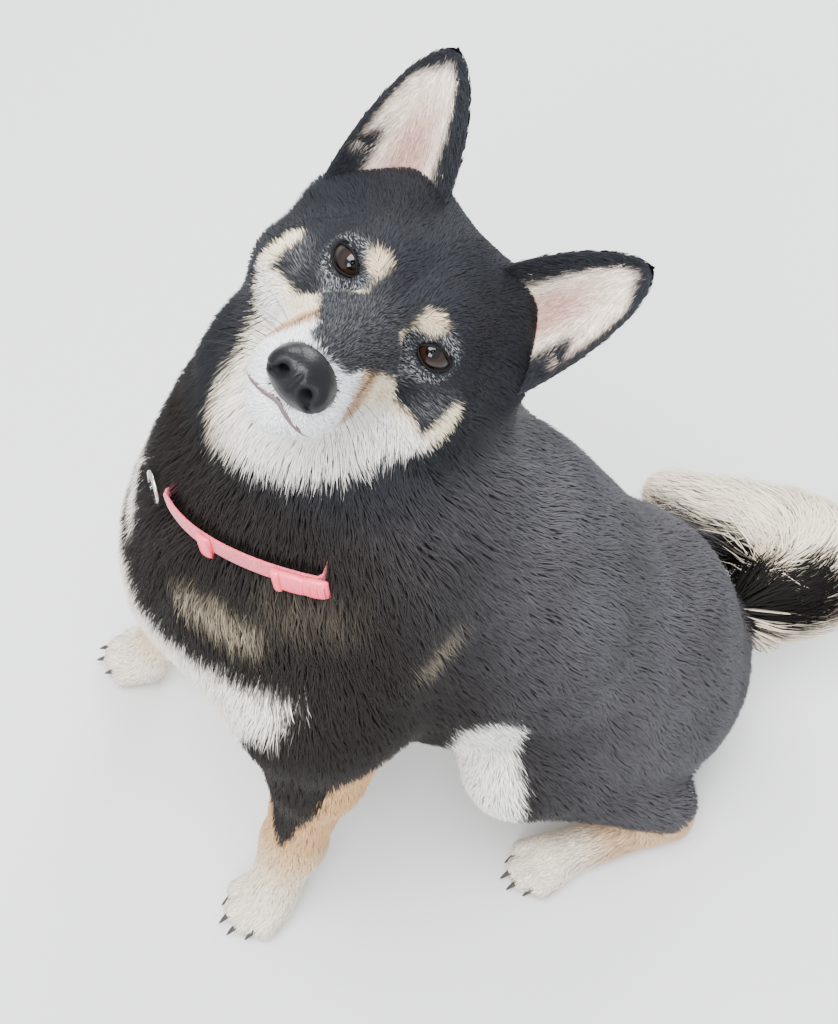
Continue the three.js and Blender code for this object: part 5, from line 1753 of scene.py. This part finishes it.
class FaceSettings(bpy.types.PropertyGroup):
    """Sizes and colours of the eyes and whiskers."""

    iris: bpy.props.FloatVectorProperty(
        name="Iris", description="Colour of the iris", subtype="COLOR_GAMMA", default=(0.14, 0.085, 0.06)
    )
    pupil: bpy.props.FloatProperty(
        name="Pupil", description="Radius of the pupil in millimetres", default=3.2
    )
    whiskers: bpy.props.FloatProperty(
        name="Whiskers", description="Length of the longest whiskers", default=0.048, unit="LENGTH"
    )


class CollarSettings(bpy.types.PropertyGroup):
    """Size and colour of the collar."""

    width: bpy.props.FloatProperty(
        name="Width", description="Width of the webbing", default=0.013, unit="LENGTH"
    )
    colour: bpy.props.FloatVectorProperty(
        name="Colour", description="Colour of webbing and plastic", subtype="COLOR_GAMMA",
        default=(0.93, 0.35, 0.43),
    )


class StageSettings(bpy.types.PropertyGroup):
    """The floor and the lights."""

    floor: bpy.props.FloatVectorProperty(
        name="Floor", description="Colour of the floor", subtype="COLOR_GAMMA", default=(0.86, 0.86, 0.86)
    )
    light: bpy.props.FloatProperty(
        name="Light", description="Power of the main light", default=95.0, unit="POWER"
    )


def coat_palette():
    """The coat's colours as amounts of light, from the settings."""
    settings = bpy.context.scene.shiba_coat
    return {name: linear(tuple(getattr(settings, name))) for name in COLOURS}


# Operators, one for each piece or group of like pieces.
class SHIBA_OT_skin(bpy.types.Operator):
    """Builds the skin, which stands for all nodes of flesh"""

    bl_idname = "shiba.skin"
    bl_label = "Skin"

    def execute(self, context):
        build_skin_arrays()
        # The skin takes the markings darkened to 0.7: painted shade for skin deep in the coat between the
        # tufts.
        colours = coat_colours(SKIN["vertices"], SKIN["normals"], coat_palette()) * 0.7
        fleshy = ("torso", "neck", "head", "tail", "thigh", "leg")
        flesh = [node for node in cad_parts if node.split("_")[0] in fleshy]
        make_piece(
            "skin",
            SKIN["vertices"],
            [SKIN["quads"]],
            skin_material(),
            replaces=flesh,
            colours=colours,
        )
        return {"FINISHED"}


class SHIBA_OT_coat(bpy.types.Operator):
    """Grows the coat on the skin"""

    bl_idname = "shiba.coat"
    bl_label = "Coat"

    def execute(self, context):
        if not SKIN:
            raise RuntimeError("the coat grows on the skin, so the skin is built first")
        build_coat(context.scene.shiba_coat, coat_palette())
        return {"FINISHED"}


class SHIBA_OT_ears(bpy.types.Operator):
    """Builds both ears and their hair"""

    bl_idname = "shiba.ears"
    bl_label = "Ears"

    def execute(self, context):
        build_ears(coat_palette())
        return {"FINISHED"}


class SHIBA_OT_eyes(bpy.types.Operator):
    """Builds the eyeballs and the lids round them"""

    bl_idname = "shiba.eyes"
    bl_label = "Eyes and lids"

    def execute(self, context):
        build_eyes(context.scene.shiba_face)
        build_lids()
        return {"FINISHED"}


class SHIBA_OT_nose(bpy.types.Operator):
    """Builds the nose leather, the lips and the whiskers"""

    bl_idname = "shiba.nose"
    bl_label = "Nose, lips and whiskers"

    def execute(self, context):
        build_nose()
        build_lips()
        build_whiskers(context.scene.shiba_face)
        return {"FINISHED"}


class SHIBA_OT_claws(bpy.types.Operator):
    """Builds the claws of all four feet"""

    bl_idname = "shiba.claws"
    bl_label = "Claws"

    def execute(self, context):
        build_claws()
        return {"FINISHED"}


class SHIBA_OT_collar(bpy.types.Operator):
    """Builds the collar with its buckle, slider and ring"""

    bl_idname = "shiba.collar"
    bl_label = "Collar"

    def execute(self, context):
        build_collar(context.scene.shiba_collar)
        return {"FINISHED"}


class SHIBA_OT_stage(bpy.types.Operator):
    """Lays the floor and sets the lights and the camera"""

    bl_idname = "shiba.stage"
    bl_label = "Stage"

    def execute(self, context):
        build_stage(context.scene.shiba_stage)
        return {"FINISHED"}


def build_stage(settings):
    """A square floor, a pale world, three area lights that each face a place on the dog, and the camera."""
    mesh = bpy.data.meshes.new("floor")
    corners = [(-4, -4, 0), (4, -4, 0), (4, 4, 0), (-4, 4, 0)]
    mesh.from_pydata(corners, [], [(0, 1, 2, 3)])
    colour = linear(tuple(settings.floor))
    material, _, _ = new_material("Studio floor", Base_Color=(*colour, 1), Roughness=0.9)
    mesh.materials.append(material)
    floor = bpy.data.objects.new("floor", mesh)
    bpy.context.scene.collection.objects.link(floor)
    world = bpy.data.worlds.new("Studio")
    world.use_nodes = True
    world.node_tree.nodes["Background"].inputs["Color"].default_value = (0.9, 0.95, 1.0, 1)
    world.node_tree.nodes["Background"].inputs["Strength"].default_value = 1.42
    bpy.context.scene.world = world
    lights = [
        ("main light", (0.3, -0.5, 2.2), (0.0, -0.05, 0.3), 1.25, 1.0),
        ("window light", (1.6, -1.4, 1.6), (0.0, -0.1, 0.35), 0.9, 0.45),
        ("rim light", (-1.5, 0.9, 1.5), (0.0, 0.0, 0.35), 1.0, 0.5),
    ]
    for name, place, target, size, share in lights:
        light = bpy.data.lights.new(name, "AREA")
        light.energy = settings.light * share
        light.size = size
        lamp = bpy.data.objects.new(name, light)
        away = unit(np.array(place) - target)
        first = unit(np.cross([0.01, 0.02, 1.0], away))
        turn = np.column_stack([first, np.cross(away, first), away])
        matrix = np.eye(4)
        matrix[:3, :3] = turn
        matrix[:3, 3] = place
        lamp.matrix_world = Matrix(matrix.tolist())
        bpy.context.scene.collection.objects.link(lamp)
    place_camera()


def place_camera():
    """The camera looks down at the dog from ahead and its left: heading, height, roll, place and lens."""
    heading, height, roll = math.radians(68.5), math.radians(57.2), math.radians(7.5)
    level = math.cos(height)
    away = np.array([math.sin(heading) * level, -math.cos(heading) * level, math.sin(height)])
    right = unit(np.cross(-away, [0, 0, 1.0]))
    up = np.cross(right, -away)
    turned_right = math.cos(roll) * right + math.sin(roll) * up
    turned_up = -math.sin(roll) * right + math.cos(roll) * up
    matrix = np.eye(4)
    matrix[:3, :3] = np.column_stack([turned_right, turned_up, away])
    matrix[:3, 3] = (np.array([440.0, -217.0, 1050.0]) + SHIFT) * MM
    data = bpy.data.cameras.new("camera")
    data.lens = 56.25
    data.sensor_width = 36
    data.clip_start = 0.01
    camera = bpy.data.objects.new("camera", data)
    camera.matrix_world = Matrix(matrix.tolist())
    bpy.context.scene.collection.objects.link(camera)
    bpy.context.scene.camera = camera


class SHIBA_PT_panel(bpy.types.Panel):
    """Lists the pieces and their settings"""

    bl_label = "Shiba inu"
    bl_idname = "SHIBA_PT_panel"
    bl_space_type = "VIEW_3D"
    bl_region_type = "UI"
    bl_category = "Shiba inu"

    def draw(self, context):
        scene = context.scene
        for group in (scene.shiba_coat, scene.shiba_face, scene.shiba_collar, scene.shiba_stage):
            box = self.layout.box()
            for name in group.__annotations__:
                box.prop(group, name)
        for operator in OPERATORS:
            self.layout.operator(operator.bl_idname)


OPERATORS = (
    SHIBA_OT_skin,
    SHIBA_OT_ears,
    SHIBA_OT_coat,
    SHIBA_OT_eyes,
    SHIBA_OT_nose,
    SHIBA_OT_claws,
    SHIBA_OT_collar,
    SHIBA_OT_stage,
)
SETTINGS = {
    "shiba_coat": CoatSettings,
    "shiba_face": FaceSettings,
    "shiba_collar": CollarSettings,
    "shiba_stage": StageSettings,
}


def register():
    """Adds the settings, the operators and the panel."""
    for cls in (*SETTINGS.values(), *OPERATORS, SHIBA_PT_panel):
        bpy.utils.register_class(cls)
    for name, cls in SETTINGS.items():
        setattr(bpy.types.Scene, name, bpy.props.PointerProperty(type=cls))


def unregister():
    """Takes away what register added, in the opposite order."""
    for name in SETTINGS:
        delattr(bpy.types.Scene, name)
    for cls in (SHIBA_PT_panel, *reversed(OPERATORS), *reversed(list(SETTINGS.values()))):
        bpy.utils.unregister_class(cls)


def main():
    """Builds every piece and the stage."""
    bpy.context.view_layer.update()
    register()
    bpy.ops.shiba.skin()
    bpy.ops.shiba.ears()
    bpy.ops.shiba.coat()
    bpy.ops.shiba.eyes()
    bpy.ops.shiba.nose()
    bpy.ops.shiba.claws()
    bpy.ops.shiba.collar()
    bpy.ops.shiba.stage()


if __name__ == "__main__":
    main()
